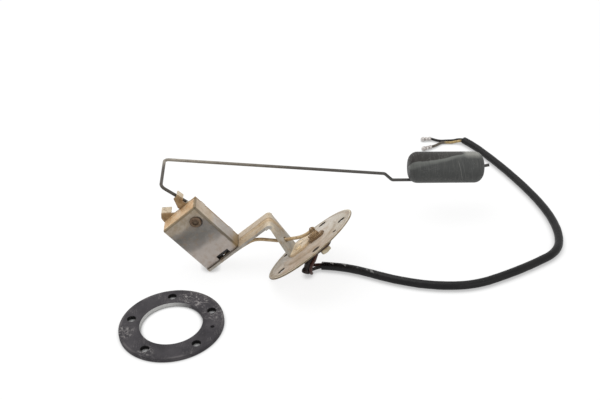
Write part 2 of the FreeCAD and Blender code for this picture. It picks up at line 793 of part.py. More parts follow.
def float_body():
    """Foam float with rounded ends, pushed on the wire from its lower edge."""
    along, lift = float_axes()
    start = arm_points()[-2] + lift * float_entry_offset - along * float_entry_set_back
    solid = cylinder(float_radius, start, along * float_length)
    ends = [e for e in solid.Edges if e.Length > 6 * float_radius and e.Curve.TypeId == "Part::GeomCircle"]
    solid = solid.makeFillet(float_end_round, ends)
    return solid.cut(tube(arm_path(), wire_radius + bore_clearance))


def stack_plate(inset, level, sheet):
    """Oblong plate around the stud, its corners rounded."""
    plate = box(vec(stud_a - stack_left_reach + inset, stud_b - stack_half_width + inset, level),
                vec(stud_a + stack_right_reach - inset, stud_b + stack_half_width - inset, level + sheet))
    upright = [e for e in plate.Edges if abs(e.tangentAt(e.FirstParameter).z) > 1 / 2]
    return plate.makeFillet(stack_corner_round, upright)


def inner_insulator():
    """Fibre plate on the pan with a neck through the flange."""
    washer = stack_plate(0.0, pan_rise, insulator_thickness)
    neck = cylinder(stud_hole_radius, vec(stud_a, stud_b, pan_rise - flange_sheet), Z * flange_sheet)
    bore = drill(stud_radius, vec(stud_a, stud_b, 0), Z)
    return flange_to_housing(washer.fuse(neck).removeSplitter().cut(bore))


def clamp_plate():
    plate = stack_plate(clamp_plate_inset, pan_rise + insulator_thickness, clamp_plate_sheet)
    return flange_to_housing(plate.cut(drill(stud_radius, vec(stud_a, stud_b, 0), Z)))


def inner_tag_level():
    return pan_rise + insulator_thickness + clamp_plate_sheet


def lead_tag():
    """Ring tag under the inner nut, with an upright eye that the lead is soldered in."""
    level = inner_tag_level()
    ring = cylinder(inner_tag_radius, vec(stud_a, stud_b, level), Z * inner_tag_sheet)
    back = stud_b + lug_reach
    eye_level = level + lug_height - lug_width / 2
    left = stud_a - lug_width / 2
    right = stud_a + lug_width / 2
    neck = box(vec(left, stud_b, level), vec(right, back, level + inner_tag_sheet))
    lug = box(vec(left, back - inner_tag_sheet, level), vec(right, back, eye_level))
    crown = cylinder(lug_width / 2, vec(stud_a, back, eye_level), Y * -inner_tag_sheet)
    tag = ring.fuse(neck).fuse(lug).fuse(crown).removeSplitter()
    tag = tag.cut(drill(stud_radius, vec(stud_a, stud_b, 0), Z))
    return flange_to_housing(tag.cut(drill(lug_eye_radius, vec(stud_a, back, eye_level), Y)))


def lead_tag_end():
    """Where the lead ends, against the back of the upright eye."""
    return flange_point(stud_a + lug_eye_radius, stud_b + lug_reach + lead_radius + tab_clearance,
                        inner_tag_level() + lug_height - lug_width / 2)


def inner_nut():
    level = inner_tag_level() + inner_tag_sheet
    nut = hexagon(inner_nut_flat, vec(stud_a, stud_b, level), Z * inner_nut_height)
    return flange_to_housing(nut.cut(drill(stud_radius, vec(stud_a, stud_b, 0), Z)))


def outer_level():
    """Height of the flange's outer face under the pan."""
    return pan_rise - flange_sheet


def outer_block():
    """Moulded insulating block under the terminal, outside the tank."""
    top = outer_level()
    block = box(vec(stud_a - block_left_reach, stud_b - block_width / 2, top - block_height),
                vec(stud_a + block_right_reach, stud_b + block_width / 2, top))
    upright = [e for e in block.Edges if abs(e.tangentAt(e.FirstParameter).z) > 1 / 2]
    block = block.makeFillet(block_corner_round, upright)
    lower = [e for e in block.Edges if e.CenterOfMass.z < top - block_height + block_edge_round / 2]
    block = block.makeFillet(block_edge_round, lower)
    return flange_to_housing(block.cut(drill(stud_radius, vec(stud_a, stud_b, 0), Z)))


def outer_tag():
    """Ring tag under the outer nut, with a tail that the signal core is crimped in."""
    level = outer_level() - block_height - outer_tag_sheet
    ring = cylinder(outer_tag_radius, vec(stud_a, stud_b, level), Z * outer_tag_sheet)
    half = signal_tag_width / 2
    neck = box(vec(stud_a - signal_tag_reach, stud_b - half, level),
               vec(stud_a, stud_b + half, level + outer_tag_sheet))
    tag = ring.fuse(neck).removeSplitter().cut(drill(stud_radius, vec(stud_a, stud_b, 0), Z))
    return flange_to_housing(tag)


def outer_nut():
    level = outer_level() - block_height - outer_tag_sheet - outer_nut_height
    nut = hexagon(outer_nut_flat, vec(stud_a, stud_b, level), Z * outer_nut_height)
    return flange_to_housing(nut.cut(drill(stud_radius, vec(stud_a, stud_b, 0), Z)))


def terminal_stud():
    low = outer_level() - block_height - outer_tag_sheet - outer_nut_height - stud_above_nut
    high = inner_tag_level() + inner_tag_sheet + inner_nut_height + stud_above_nut
    stud = cylinder(stud_radius, vec(stud_a, stud_b, low), Z * (high - low))
    ends = [e for e in stud.Edges if e.Length > 6 * stud_radius and e.Curve.TypeId == "Part::GeomCircle"]
    return flange_to_housing(stud.makeChamfer(stud_chamfer, ends))


def earth_tag():
    """Ring tag on the flange's outer face, its tail bent down to the earth core."""
    level = outer_level() - earth_tag_sheet
    ring = cylinder(earth_ring_radius, vec(earth_rivet_a, earth_rivet_b, level), Z * earth_tag_sheet)
    edge = earth_rivet_a - earth_ring_radius - earth_tail_gap
    half = earth_tag_width / 2
    neck = box(vec(edge, earth_rivet_b - half, level), vec(earth_rivet_a, earth_rivet_b + half, outer_level()))
    tail = box(vec(edge, earth_rivet_b - half, level - earth_tag_drop),
               vec(edge + earth_tag_sheet, earth_rivet_b + half, outer_level()))
    tag = ring.fuse(neck).fuse(tail).removeSplitter()
    return flange_to_housing(tag.cut(drill(earth_rivet_radius, vec(earth_rivet_a, earth_rivet_b, 0), Z)))


def earth_core_start():
    edge = earth_rivet_a - earth_ring_radius - earth_tail_gap
    low = outer_level() - earth_tag_sheet - earth_tag_drop
    return flange_point(edge + earth_tag_sheet / 2, earth_rivet_b, low)


def signal_core_start():
    level = outer_level() - block_height - outer_tag_sheet / 2
    return flange_point(stud_a - signal_tag_reach, stud_b, level)


def earth_rivet():
    """Rivet through the tag, the flange and the bracket's foot."""
    low = outer_level() - earth_tag_sheet
    high = pan_rise + strip_sheet
    shank = cylinder(earth_rivet_radius, vec(earth_rivet_a, earth_rivet_b, low), Z * (high - low))
    for level, way in ((low, -1), (high, 1)):
        foot = vec(earth_rivet_a, earth_rivet_b, level)
        head = cylinder(earth_head_radius, foot, Z * way * earth_head_height)
        rim = [e for e in head.Edges if abs(e.CenterOfMass.z - level) > earth_head_round]
        shank = shank.fuse(head.makeFillet(earth_head_round, rim))
    return flange_to_housing(shank.removeSplitter())


def solder_tag_place():
    """Lower end of the card's tag, on the side where the lead is soldered."""
    return vec(cover_left_x + lead_exit_x, card_front_y() + card_thickness + solder_tag_sheet,
               shelf_top_z + card_bottom)


def lead_start():
    return solder_tag_place() + Y * lead_radius


def card_terminal():
    """Solder tag on the back of the card, where the lead starts."""
    low = solder_tag_place() - vec(solder_tag_width / 2, solder_tag_sheet, 0)
    return Part.makeBox(solder_tag_width, solder_tag_sheet, solder_tag_height, low)


def inner_lead():
    """Insulated lead from the card, out under the shelf and through the leg, to the stud."""
    points = [lead_start()] + [vec(*p) for p in lead_route] + [lead_tag_end()]
    return cord("inner_lead", points, lead_radius)


def rest_pitch():
    """Turn about Y that sets the shelf's low end and the flange's rim on one level."""
    end_x = cover_left_x
    end_z = shelf_top_z - strip_sheet
    low, high = 10.0, 70.0
    for _ in range(60):
        pitch = (low + high) / 2
        if end_height(pitch, end_x, end_z) > rim_height(pitch):
            low = pitch
        else:
            high = pitch
    return pitch


def end_height(pitch, x, z):
    t = math.radians(pitch)
    return x * math.sin(t) + z * math.cos(t)


def rim_height(pitch):
    upright = math.cos(math.radians(flange_twist)) * math.cos(math.radians(pitch))
    return -flange_sheet * upright - flange_radius * math.sqrt(1 - upright * upright)


pitch = rest_pitch()
lift = -rim_height(pitch)


def at_rest(shape):
    return shape.rotated(origin, Y, -pitch).translated(vec(0, 0, lift))


def rest_point(point):
    t = math.radians(pitch)
    return vec(point.x * math.cos(t) - point.z * math.sin(t), point.y,
               point.x * math.sin(t) + point.z * math.cos(t) + lift)


def mounting_gasket():
    ring = cylinder(gasket_outer_radius, origin, Z * gasket_thickness)
    ring = ring.cut(drill(gasket_inner_radius, origin, Z))
    for k in range(screw_count):
        x, y = polar(screw_circle_radius, gasket_first_angle + 360 * k / screw_count)
        ring = ring.cut(drill(gasket_hole_radius, vec(x, y, 0), Z))
    x, y = polar(screw_circle_radius, gasket_index_angle)
    ring = ring.cut(drill(index_hole_radius, vec(x, y, 0), Z))
    return ring.translated(vec(gasket_plan_x, gasket_plan_y, 0))


def plan_points(route):
    return [vec(*p) for p in route]


def core_ends():
    """Centres of the two cores where they meet the sleeve's two ends."""
    points = plan_points(sleeve_route)
    ends = []
    for here, ahead in ((points[0], points[1]), (points[-1], points[-2])):
        run = ahead - here
        side = vec(-run.y, run.x, 0).normalize() * core_side
        ends.append((here + side, here - side))
    return ends


def signal_core():
    start = rest_point(signal_core_start())
    return cord("signal_core", [start] + plan_points(signal_route) + [core_ends()[0][0]], core_radius)


def earth_core():
    start = rest_point(earth_core_start())
    return cord("earth_core", [start] + plan_points(earth_route) + [core_ends()[0][1]], core_radius)


def cable_sleeve():
    return cord("cable_sleeve", plan_points(sleeve_route), sleeve_radius)


def signal_tail():
    x, y, _ = signal_bullet_place
    route = [core_ends()[1][1]] + plan_points(signal_tail_route) + [vec(x, y, bullet_radius)]
    return cord("signal_tail", route, core_radius)


def earth_tail():
    x, y, _ = earth_bullet_place
    route = [core_ends()[1][0]] + plan_points(earth_tail_route) + [vec(x, y, bullet_radius)]
    return cord("earth_tail", route, core_radius)


def bullet_connector(place):
    """Crimped barrel and bullet, lying on the bench."""
    x, y, heading = place
    middle = crimp_length / 2
    shoulder = crimp_length + crimp_dent
    tip = crimp_length + bullet_length
    profile = [(0, 0), (crimp_radius, 0), (crimp_radius, middle - crimp_dent), (crimp_waist_radius, middle),
               (crimp_radius, middle + crimp_dent), (crimp_radius, crimp_length),
               (crimp_waist_radius, shoulder), (bullet_radius, shoulder + crimp_dent),
               (bullet_radius, tip - bullet_nose_length), (bullet_nose_radius, tip), (0, tip)]
    solid = revolved(profile).rotated(origin, Y, 90)
    return solid.rotated(origin, Z, heading).translated(vec(x, y, bullet_radius))


held_parts = {
    "flange_plate": flange_plate,
    "bracket_strip": bracket_strip,
    "back_plate": back_plate,
    "housing_cover": housing_cover,
    "cover_eyelet": cover_eyelet,
    "pivot_bush": pivot_bush,
    "card_post_left": card_post_left,
    "card_post_right": card_post_right,
    "resistor_card": resistor_card,
    "resistance_winding": resistance_winding,
    "card_terminal": card_terminal,
    "inner_lead": inner_lead,
    "lead_tag": lead_tag,
    "inner_insulator": inner_insulator,
    "clamp_plate": clamp_plate,
    "inner_nut": inner_nut,
    "terminal_stud": terminal_stud,
    "outer_block": outer_block,
    "outer_tag": outer_tag,
    "outer_nut": outer_nut,
    "earth_tag": earth_tag,
    "earth_rivet": earth_rivet,
    "pivot_shaft": pivot_shaft,
    "wiper_arm": wiper_arm,
    "wiper_contact": wiper_contact,
    "arm_lever": arm_lever,
    "float_wire": float_wire,
    "float_body": float_body,
}
bench_parts = {
    "mounting_gasket": mounting_gasket,
}
cable_parts = {
    "signal_core": signal_core,
    "earth_core": earth_core,
    "cable_sleeve": cable_sleeve,
    "signal_tail": signal_tail,
    "earth_tail": earth_tail,
    "signal_bullet": lambda: bullet_connector(signal_bullet_place),
    "earth_bullet": lambda: bullet_connector(earth_bullet_place),
}
soldered_ends = [
    ("inner_lead", "card_terminal"), ("inner_lead", "resistor_card"), ("inner_lead", "lead_tag"),
    ("signal_core", "outer_tag"), ("signal_core", "outer_block"), ("signal_core", "cable_sleeve"),
    ("earth_core", "earth_tag"), ("earth_core", "cable_sleeve"),
    ("signal_tail", "cable_sleeve"), ("signal_tail", "signal_bullet"),
    ("earth_tail", "cable_sleeve"), ("earth_tail", "earth_bullet"),
]

solids = {name: at_rest(make()) for name, make in held_parts.items()}
solids.update({name: make() for name, make in bench_parts.items()})
whole = Part.makeCompound(list(solids.values())).BoundBox
to_middle = vec(-whole.Center.x, -whole.Center.y, 0)
solids.update({name: make() for name, make in cable_parts.items()})
for name, seat in soldered_ends:
    solids[name] = max(solids[name].cut(solids[seat]).Solids, key=lambda solid: solid.Volume)

os.makedirs("parts", exist_ok=True)
for name, solid in solids.items():
    placed = solid.translated(to_middle)
    placed.exportStep("parts/" + name + ".step")

flange_centre = rest_point(origin) + to_middle
seat_normal = rest_point(flange_point(0, 0, 1)) - rest_point(origin)
pivot_centre = rest_point(pivot_point(0, 0, plate_back_y)) + to_middle
print("turned up by", round(pitch, 2))
print("flange centre", [round(c, 3) for c in flange_centre], "seat normal", [round(c, 5) for c in seat_normal])
print("pivot", [round(c, 3) for c in pivot_centre])
print("shift to the middle", [round(c, 3) for c in to_middle])
print("size", [round(d, 1) for d in (whole.XLength, whole.YLength, whole.ZLength)])
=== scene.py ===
import math

import bpy
from mathutils import Matrix, Vector


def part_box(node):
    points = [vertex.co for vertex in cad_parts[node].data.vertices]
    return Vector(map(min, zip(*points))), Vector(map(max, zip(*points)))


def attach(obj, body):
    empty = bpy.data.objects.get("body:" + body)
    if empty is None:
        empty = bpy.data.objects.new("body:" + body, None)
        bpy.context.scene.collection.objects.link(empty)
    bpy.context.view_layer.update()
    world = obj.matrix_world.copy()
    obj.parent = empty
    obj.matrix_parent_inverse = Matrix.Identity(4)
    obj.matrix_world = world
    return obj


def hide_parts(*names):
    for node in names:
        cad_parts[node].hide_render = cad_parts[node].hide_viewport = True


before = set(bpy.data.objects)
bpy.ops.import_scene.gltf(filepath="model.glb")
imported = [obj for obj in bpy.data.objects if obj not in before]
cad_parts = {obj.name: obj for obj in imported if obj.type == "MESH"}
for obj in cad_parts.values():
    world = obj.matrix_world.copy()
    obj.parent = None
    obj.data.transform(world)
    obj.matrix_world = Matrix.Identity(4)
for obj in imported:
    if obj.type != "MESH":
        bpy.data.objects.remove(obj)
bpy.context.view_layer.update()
print("frame loaded")

# The flange's centre and the two frames that the pieces are drawn in, as the model rests
bench = {"centre": (-0.004185, 0.002600, 0.023567), "pitch": 37.10, "twist": 18.0}
housingFrame = (Matrix.Translation(bench["centre"])
                @ Matrix.Rotation(math.radians(-bench["pitch"]), 4, "Y"))
flangeFrame = housingFrame @ Matrix.Rotation(math.radians(-bench["twist"]), 4, "X")
benchShift = Vector((bench["centre"][0], bench["centre"][1], 0))


def mm(*values):
    return Vector(values) / 1000


def tone(red, green, blue):
    # colour as given in screen values, made linear
    linear = [((c / 255 + 0.055) / 1.055) ** 2.4 if c > 10 else c / 3295
              for c in (red, green, blue)]
    return (*linear, 1.0)


def addNode(tree, kind, values=None, **settings):
    made = tree.nodes.new(kind)
    for key, value in settings.items():
        setattr(made, key, value)
    for key, value in (values or {}).items():
        plug(tree, value, made.inputs[key])
    return made


def plug(tree, value, socket):
    if isinstance(value, bpy.types.NodeSocket):
        tree.links.new(value, socket)
    else:
        socket.default_value = value


def mixColor(tree, factor, first, second, blend="MIX"):
    made = tree.nodes.new("ShaderNodeMix")
    made.data_type = "RGBA"
    made.blend_type = blend
    plug(tree, factor, made.inputs[0])
    plug(tree, first, made.inputs[6])
    plug(tree, second, made.inputs[7])
    return made.outputs[2]


def calc(tree, operation, first, second=0.0):
    return addNode(tree, "ShaderNodeMath", {0: first, 1: second}, operation=operation).outputs[0]


def times(tree, first, second):
    return calc(tree, "MULTIPLY", first, second)


def plus(tree, first, second):
    return calc(tree, "ADD", first, second)


def minus(tree, first, second):
    return calc(tree, "SUBTRACT", first, second)


def ramp(tree, factor, stops, interpolation="EASE"):
    made = addNode(tree, "ShaderNodeValToRGB", {"Fac": factor})
    made.color_ramp.interpolation = interpolation
    elements = made.color_ramp.elements
    while len(elements) < len(stops):
        elements.new(0.5)
    for element, (place, color) in zip(elements, stops):
        element.position = place
        element.color = color if isinstance(color, tuple) else (color, color, color, 1)
    return made.outputs["Color"]


def remap(tree, value, low, high, newLow=0.0, newHigh=1.0):
    made = addNode(tree, "ShaderNodeMapRange", {
        "Value": value, "From Min": low, "From Max": high, "To Min": newLow, "To Max": newHigh})
    return made.outputs["Result"]


def split(tree, vector):
    return addNode(tree, "ShaderNodeSeparateXYZ", {0: vector}).outputs


def distanceTo(tree, first, second, where):
    # how far a point in a plane lies from the place given
    one = minus(tree, first, where[0])
    two = minus(tree, second, where[1])
    return calc(tree, "SQRT", plus(tree, times(tree, one, one), times(tree, two, two)))


def distanceToHoles(tree, first, second, holes):
    # how far a point in a plane lies from the nearest of the holes set round a circle
    radius = distanceTo(tree, first, second, (0.0, 0.0))
    angle = minus(tree, calc(tree, "ARCTAN2", second, first), math.radians(holes["first"]))
    turn = calc(tree, "PINGPONG", angle, math.pi / holes["count"])
    flat = times(tree, times(tree, radius, calc(tree, "COSINE", turn)), 2.0 * holes["circle"])
    square = minus(tree, plus(tree, times(tree, radius, radius), holes["circle"] ** 2), flat)
    return calc(tree, "SQRT", calc(tree, "MAXIMUM", square, 0.0))


def inMillimetres(tree, vector):
    scaled = addNode(tree, "ShaderNodeVectorMath", {0: vector, "Scale": 1000.0}, operation="SCALE")
    return scaled.outputs[0]


def band(tree, value, low, high, soft):
    # one between low and high, fading over soft at either end
    rising = remap(tree, value, low - soft, low + soft)
    return times(tree, rising, remap(tree, value, high + soft, high - soft))


def noise(tree, vector, scale, detail=4.0, roughness=0.55, distortion=0.0):
    made = addNode(tree, "ShaderNodeTexNoise", {
        "Vector": vector, "Scale": scale, "Detail": detail, "Roughness": roughness,
        "Distortion": distortion})
    return made.outputs["Fac"]


def startGroup(name, inputs, outputs):
    tree = bpy.data.node_groups.new(name, "ShaderNodeTree")
    for label, kind, value in inputs:
        socket = tree.interface.new_socket(label, in_out="INPUT", socket_type="NodeSocket" + kind)
        if value is not None:
            socket.default_value = value
    for label, kind in outputs:
        tree.interface.new_socket(label, in_out="OUTPUT", socket_type="NodeSocket" + kind)
    return tree, tree.nodes.new("NodeGroupInput").outputs, tree.nodes.new("NodeGroupOutput").inputs


def useGroup(tree, group, values):
    made = tree.nodes.new("ShaderNodeGroup")
    made.node_tree = group
    for key, value in values.items():
        plug(tree, value, made.inputs[key])
    return made.outputs


def makeAgedFinish():
    # blotches of stain, pale wear and fine speckle over a base colour
    tree, given, result = startGroup("agedFinish", [
        ("Vector", "Vector", None), ("Base", "Color", None), ("Stain", "Color", None),
        ("Pale", "Color", None), ("Stain Amount", "Float", 0.5), ("Pale Amount", "Float", 0.4),
        ("Size", "Float", 1.0), ("Roughness", "Float", 0.5)],
        [("Color", "Color"), ("Roughness", "Float"), ("Height", "Float")])
    place = inMillimetres(tree, given["Vector"])
    size = calc(tree, "DIVIDE", 0.16, given["Size"])
    blotch = noise(tree, place, size, 5.0, 0.62, 0.4)
    shifted = addNode(tree, "ShaderNodeVectorMath", {0: place, 1: (31.0, 17.0, 53.0)},
                      operation="ADD")
    cloud = noise(tree, shifted.outputs[0], times(tree, size, 0.55), 4.0, 0.6, 0.2)
    speckle = noise(tree, place, times(tree, size, 14.0), 3.0, 0.7)
    stained = times(tree, remap(tree, blotch, 0.50, 0.68), given["Stain Amount"])
    paled = times(tree, remap(tree, cloud, 0.46, 0.66), given["Pale Amount"])
    color = mixColor(tree, paled, given["Base"], given["Pale"])
    color = mixColor(tree, stained, color, given["Stain"])
    grainy = remap(tree, speckle, 0.25, 0.75, 0.86, 1.12)
    color = mixColor(tree, 1.0, color, grainy, "MULTIPLY")
    rough = plus(tree, given["Roughness"], remap(tree, speckle, 0.3, 0.7, -0.06, 0.10))
    plug(tree, color, result["Color"])
    plug(tree, plus(tree, rough, times(tree, stained, 0.15)), result["Roughness"])
    plug(tree, plus(tree, speckle, times(tree, blotch, 0.6)), result["Height"])
    return tree


def makeScratches():
    # short fine scratches, as from handling
    tree, given, result = startGroup(
        "scratches", [("Vector", "Vector", None), ("Density", "Float", 0.5)], [("Mask", "Float")])
    mask = None
    for turn, stretch in ((0.4, 3.2), (2.1, 2.6)):
        spot = addNode(tree, "ShaderNodeMapping", {
            "Vector": given["Vector"], "Rotation": (turn, turn * 0.7, turn * 1.3),
            "Scale": (1000.0, 1000.0 / (6 * stretch), 1000.0)}).outputs[0]
        line = noise(tree, spot, 0.9, 2.0, 0.5, 0.3)
        thin = ramp(tree, line, [(0.0, 0.0), (0.492, 0.0), (0.5, 1.0), (0.508, 0.0)], "LINEAR")
        mask = thin if mask is None else mixColor(tree, 1.0, mask, thin, "LIGHTEN")
    patch = remap(tree, noise(tree, inMillimetres(tree, given["Vector"]), 0.13, 3.0), 0.5, 0.62)
    plug(tree, times(tree, times(tree, mask, patch), given["Density"]), result["Mask"])
    return tree


agedFinish = makeAgedFinish()
scratches = makeScratches()


def startMaterial(name):
    material = bpy.data.materials.new(name)
    material.use_nodes = True
    tree = material.node_tree
    shader = tree.nodes["Principled BSDF"]
    place = tree.nodes.new("ShaderNodeTexCoord").outputs["Object"]
    return material, tree, shader, place


def finishMaterial(tree, shader, color, roughness, height, bump, metallic, distance=0.0001):
    plug(tree, color, shader.inputs["Base Color"])
    plug(tree, roughness, shader.inputs["Roughness"])
    shader.inputs["Metallic"].default_value = metallic
    if height is not None:
        relief = addNode(tree, "ShaderNodeBump", {
            "Strength": bump, "Distance": distance, "Height": height})
        tree.links.new(relief.outputs["Normal"], shader.inputs["Normal"])


def age(tree, place, base, look):
    return useGroup(tree, agedFinish, {
        "Vector": place, "Base": base, "Stain": tone(*look["stain"]), "Pale": tone(*look["pale"]),
        "Stain Amount": look["stainAmount"], "Pale Amount": look["paleAmount"],
        "Size": look["size"], "Roughness": look["roughness"]})


def scratchOver(tree, place, color, density, tint, where=None):
    # fine scratches of the tint over the colour, only where the mask allows them
    marks = useGroup(tree, scratches, {"Vector": place, "Density": density})["Mask"]
    if where is not None:
        marks = times(tree, marks, where)
    return mixColor(tree, marks, color, tone(*tint))


def agedMaterial(name, look):
    material, tree, shader, place = startMaterial(name)
    aged = age(tree, place, tone(*look["base"]), look)
    color = aged["Color"]
    if look.get("scratch"):
        color = scratchOver(tree, place, color, look["scratch"], look["pale"])
    finishMaterial(tree, shader, color, aged["Roughness"], aged["Height"], look["bump"],
                   look["metallic"])
    shader.inputs["Specular IOR Level"].default_value = look.get("gloss", 0.5)
    return material


def inFrame(tree, place, matrix):
    # object coordinates turned into one of the part's own frames, in millimetres
    turned = addNode(tree, "ShaderNodeMapping", {
        "Vector": place, "Location": matrix.translation, "Rotation": matrix.to_euler(),
        "Scale": (0.001,) * 3}, vector_type="TEXTURE")
    return split(tree, turned.outputs[0])


# Radii and places on the flange in millimetres, the first hole's place in degrees
flangeForm = {"circle": 27.0, "first": 3.5, "count": 5, "indexHole": (23.38, -13.5),
              "panRing": (21.4, 22.6), "rimRing": (31.5, 34.1), "creamRing": (34.0, 34.6),
              "edge": (34.5, 34.8), "holeStain": (4.6, 3.0), "holeShade": (3.0, 2.75),
              "indexShade": (1.65, 1.38)}


def makeFlangeFinish():
    # warm and stained near, greyer far off, brown round the rim, painted shade in the holes
    material, tree, shader, place = startMaterial("flangeZinc")
    across, deep, _ = inFrame(tree, place, flangeFrame)
    radius = distanceTo(tree, across, deep, (0.0, 0.0))
    wave = remap(tree, noise(tree, place, 90.0, 4.0), 0.3, 0.7, -3.0, 3.0)
    near = remap(tree, plus(tree, deep, wave), 6.0, -20.0)
    left = remap(tree, plus(tree, across, wave), -12.0, -30.0, 0.0, 0.8)
    right = remap(tree, plus(tree, across, wave), 14.0, 31.0, 0.0, 0.8)
    color = mixColor(tree, near, tone(198, 190, 178), tone(176, 157, 137))
    color = mixColor(tree, left, color, tone(166, 157, 142))
    color = mixColor(tree, right, color, tone(176, 168, 150))
    uneven = remap(tree, wave, -2.5, 2.5, 0.55, 0.85)
    ring = times(tree, band(tree, radius, *flangeForm["rimRing"], 0.3), uneven)
    ringTone = mixColor(tree, right, tone(136, 120, 92), tone(168, 156, 143))
    color = mixColor(tree, ring, color, ringTone)
    pan = times(tree, band(tree, radius, *flangeForm["panRing"], 0.5), 0.4)
    color = mixColor(tree, pan, color, tone(128, 110, 84))
    wall = remap(tree, radius, *flangeForm["edge"])
    wallTone = mixColor(tree, right, tone(100, 84, 58), tone(140, 124, 102))
    color = mixColor(tree, wall, color, wallTone)
    farRight = remap(tree, minus(tree, across, deep), -8.0, 10.0)
    cream = times(tree, band(tree, radius, *flangeForm["creamRing"], 0.15), farRight)
    color = mixColor(tree, times(tree, cream, 0.9), color, tone(228, 218, 192))
    aged = age(tree, place, color, {
        "stain": (150, 114, 74), "pale": (212, 204, 192), "stainAmount": 0.45, "paleAmount": 0.28,
        "size": 0.75, "roughness": 0.50})
    color = scratchOver(tree, place, aged["Color"], 0.5, (142, 120, 92))
    fromHole = distanceToHoles(tree, across, deep, flangeForm)
    holeStain = remap(tree, fromHole, *flangeForm["holeStain"], 0.0, 0.35)
    color = mixColor(tree, holeStain, color, tone(130, 104, 72))
    # painted shade on the walls of the screw holes
    holeShade = remap(tree, fromHole, *flangeForm["holeShade"], 0.0, 0.92)
    color = mixColor(tree, holeShade, color, tone(44, 36, 28))
    # painted shade on the wall of the index hole
    fromIndex = distanceTo(tree, across, deep, flangeForm["indexHole"])
    indexShade = remap(tree, fromIndex, *flangeForm["indexShade"], 0.0, 0.95)
    color = mixColor(tree, indexShade, color, tone(36, 30, 24))
    finishMaterial(tree, shader, color, aged["Roughness"], aged["Height"], 0.25, 0.3)
    return material


# The cover's lower left corner in the housing's frame, and the rest in millimetres from it
coverForm = {"corner": (-70.0, 9.4, 25.2), "width": 29.2, "height": 42.6, "eyelet": (21.9, 33.6),
             "frontSpan": 50.0, "topFrom": (41.5, 42.1), "rightFrom": (28.1, 28.7),
             "fold": (1.65, 1.0), "eyeletShade": (3.2, 4.5), "stainedCorner": (29.6, 1.0)}


def makeCoverFinish():
    # front, top and right faces weathered each in its own way, painted shade and grime along the
    # folds, painted shade along the bottom and under the eyelet
    material, tree, shader, place = startMaterial("coverZinc")
    corner = housingFrame @ Matrix.Translation(mm(*coverForm["corner"]))
    across, deep, up = inFrame(tree, place, corner)
    wave = remap(tree, noise(tree, place, 70.0, 4.0), 0.3, 0.7, -2.2, 2.2)
    fine = noise(tree, place, 300.0, 5.0, 0.68)
    level = plus(tree, plus(tree, up, times(tree, across, 0.146)), wave)
    front = ramp(tree, calc(tree, "DIVIDE", level, coverForm["frontSpan"]), [
        (0.0, tone(180, 171, 164)), (0.31, tone(180, 171, 164)), (0.42, tone(136, 131, 126)),
        (0.53, tone(117, 114, 109)), (0.63, tone(112, 109, 104)), (0.71, tone(128, 122, 114)),
        (0.765, tone(170, 158, 142)), (1.0, tone(182, 167, 144))])
    mottle = times(tree, remap(tree, level, 35.5, 38.5), remap(tree, fine, 0.44, 0.66, 0.0, 0.5))
    front = mixColor(tree, mottle, front, tone(128, 110, 78))
    side = ramp(tree, calc(tree, "DIVIDE", up, coverForm["height"]), [
        (0.0, tone(150, 134, 106)), (0.07, tone(154, 142, 122)), (0.18, tone(160, 151, 143)),
        (0.40, tone(168, 161, 153)), (0.52, tone(178, 170, 162)), (0.66, tone(186, 168, 144)),
        (0.82, tone(192, 176, 155)), (1.0, tone(176, 156, 132))])
    top = mixColor(tree, remap(tree, fine, 0.36, 0.62), tone(200, 156, 106), tone(220, 196, 160))
    atTop = remap(tree, up, *coverForm["topFrom"])
    atRight = remap(tree, across, *coverForm["rightFrom"])
    color = mixColor(tree, atTop, mixColor(tree, atRight, front, side), top)
    aged = age(tree, place, color, {
        "stain": (146, 116, 80), "pale": (196, 188, 178), "stainAmount": 0.38, "paleAmount": 0.16,
        "size": 0.6, "roughness": 0.46})
    color = aged["Color"]
    belowTop = minus(tree, coverForm["height"], up)
    fromRight = minus(tree, coverForm["width"], across)
    uneven = remap(tree, fine, 0.3, 0.7, -0.25, 0.25)
    # painted shade and grime along the three folds
    for first, second in ((belowTop, deep), (fromRight, deep), (belowTop, fromRight)):
        edge = plus(tree, calc(tree, "MAXIMUM", first, second), uneven)
        paintedShade = remap(tree, edge, *coverForm["fold"], 0.0, 0.72)
        color = mixColor(tree, paintedShade, color, tone(84, 74, 52))
    fromCorner = plus(tree, distanceTo(tree, across, up, coverForm["stainedCorner"]), wave)
    stained = remap(tree, fromCorner, 5.0, 2.0, 0.0, 0.45)
    color = mixColor(tree, stained, color, tone(160, 132, 86))
    # painted shade along the bottom, where the cover meets the shelf
    bottomShade = remap(tree, plus(tree, up, uneven), 1.0, 0.2, 0.0, 0.8)
    color = mixColor(tree, bottomShade, color, tone(66, 54, 40))
    lowRight = remap(tree, minus(tree, across, up), -13.0, -9.0)
    fromEyelet = distanceTo(tree, across, up, coverForm["eyelet"])
    shaded = times(tree, band(tree, fromEyelet, *coverForm["eyeletShade"], 0.2), lowRight)
    color = mixColor(tree, times(tree, shaded, 0.85), color, tone(40, 34, 30))
    color = scratchOver(tree, place, color, 0.35, (190, 182, 170))
    finishMaterial(tree, shader, color, aged["Roughness"], aged["Height"], 0.22, 0.3)
    return material


# Millimetres in the housing's frame, but the foot's top and its welds in the flange's
bracketForm = {"bead": 16.15, "beadReach": (3.0, 1.6), "brownLine": (0.9, 0.3),
               "welds": ((-6.8, 3.4), (-6.8, 10.4)), "weldDent": (2.5, 2.1),
               "footTop": (3.2, 2.7), "footStart": (-14.0, -12.6), "nearEdge": (8.45, 8.15),
               "shelfLevel": (23.0, 24.5), "shelfStart": (-14.0, -19.0)}


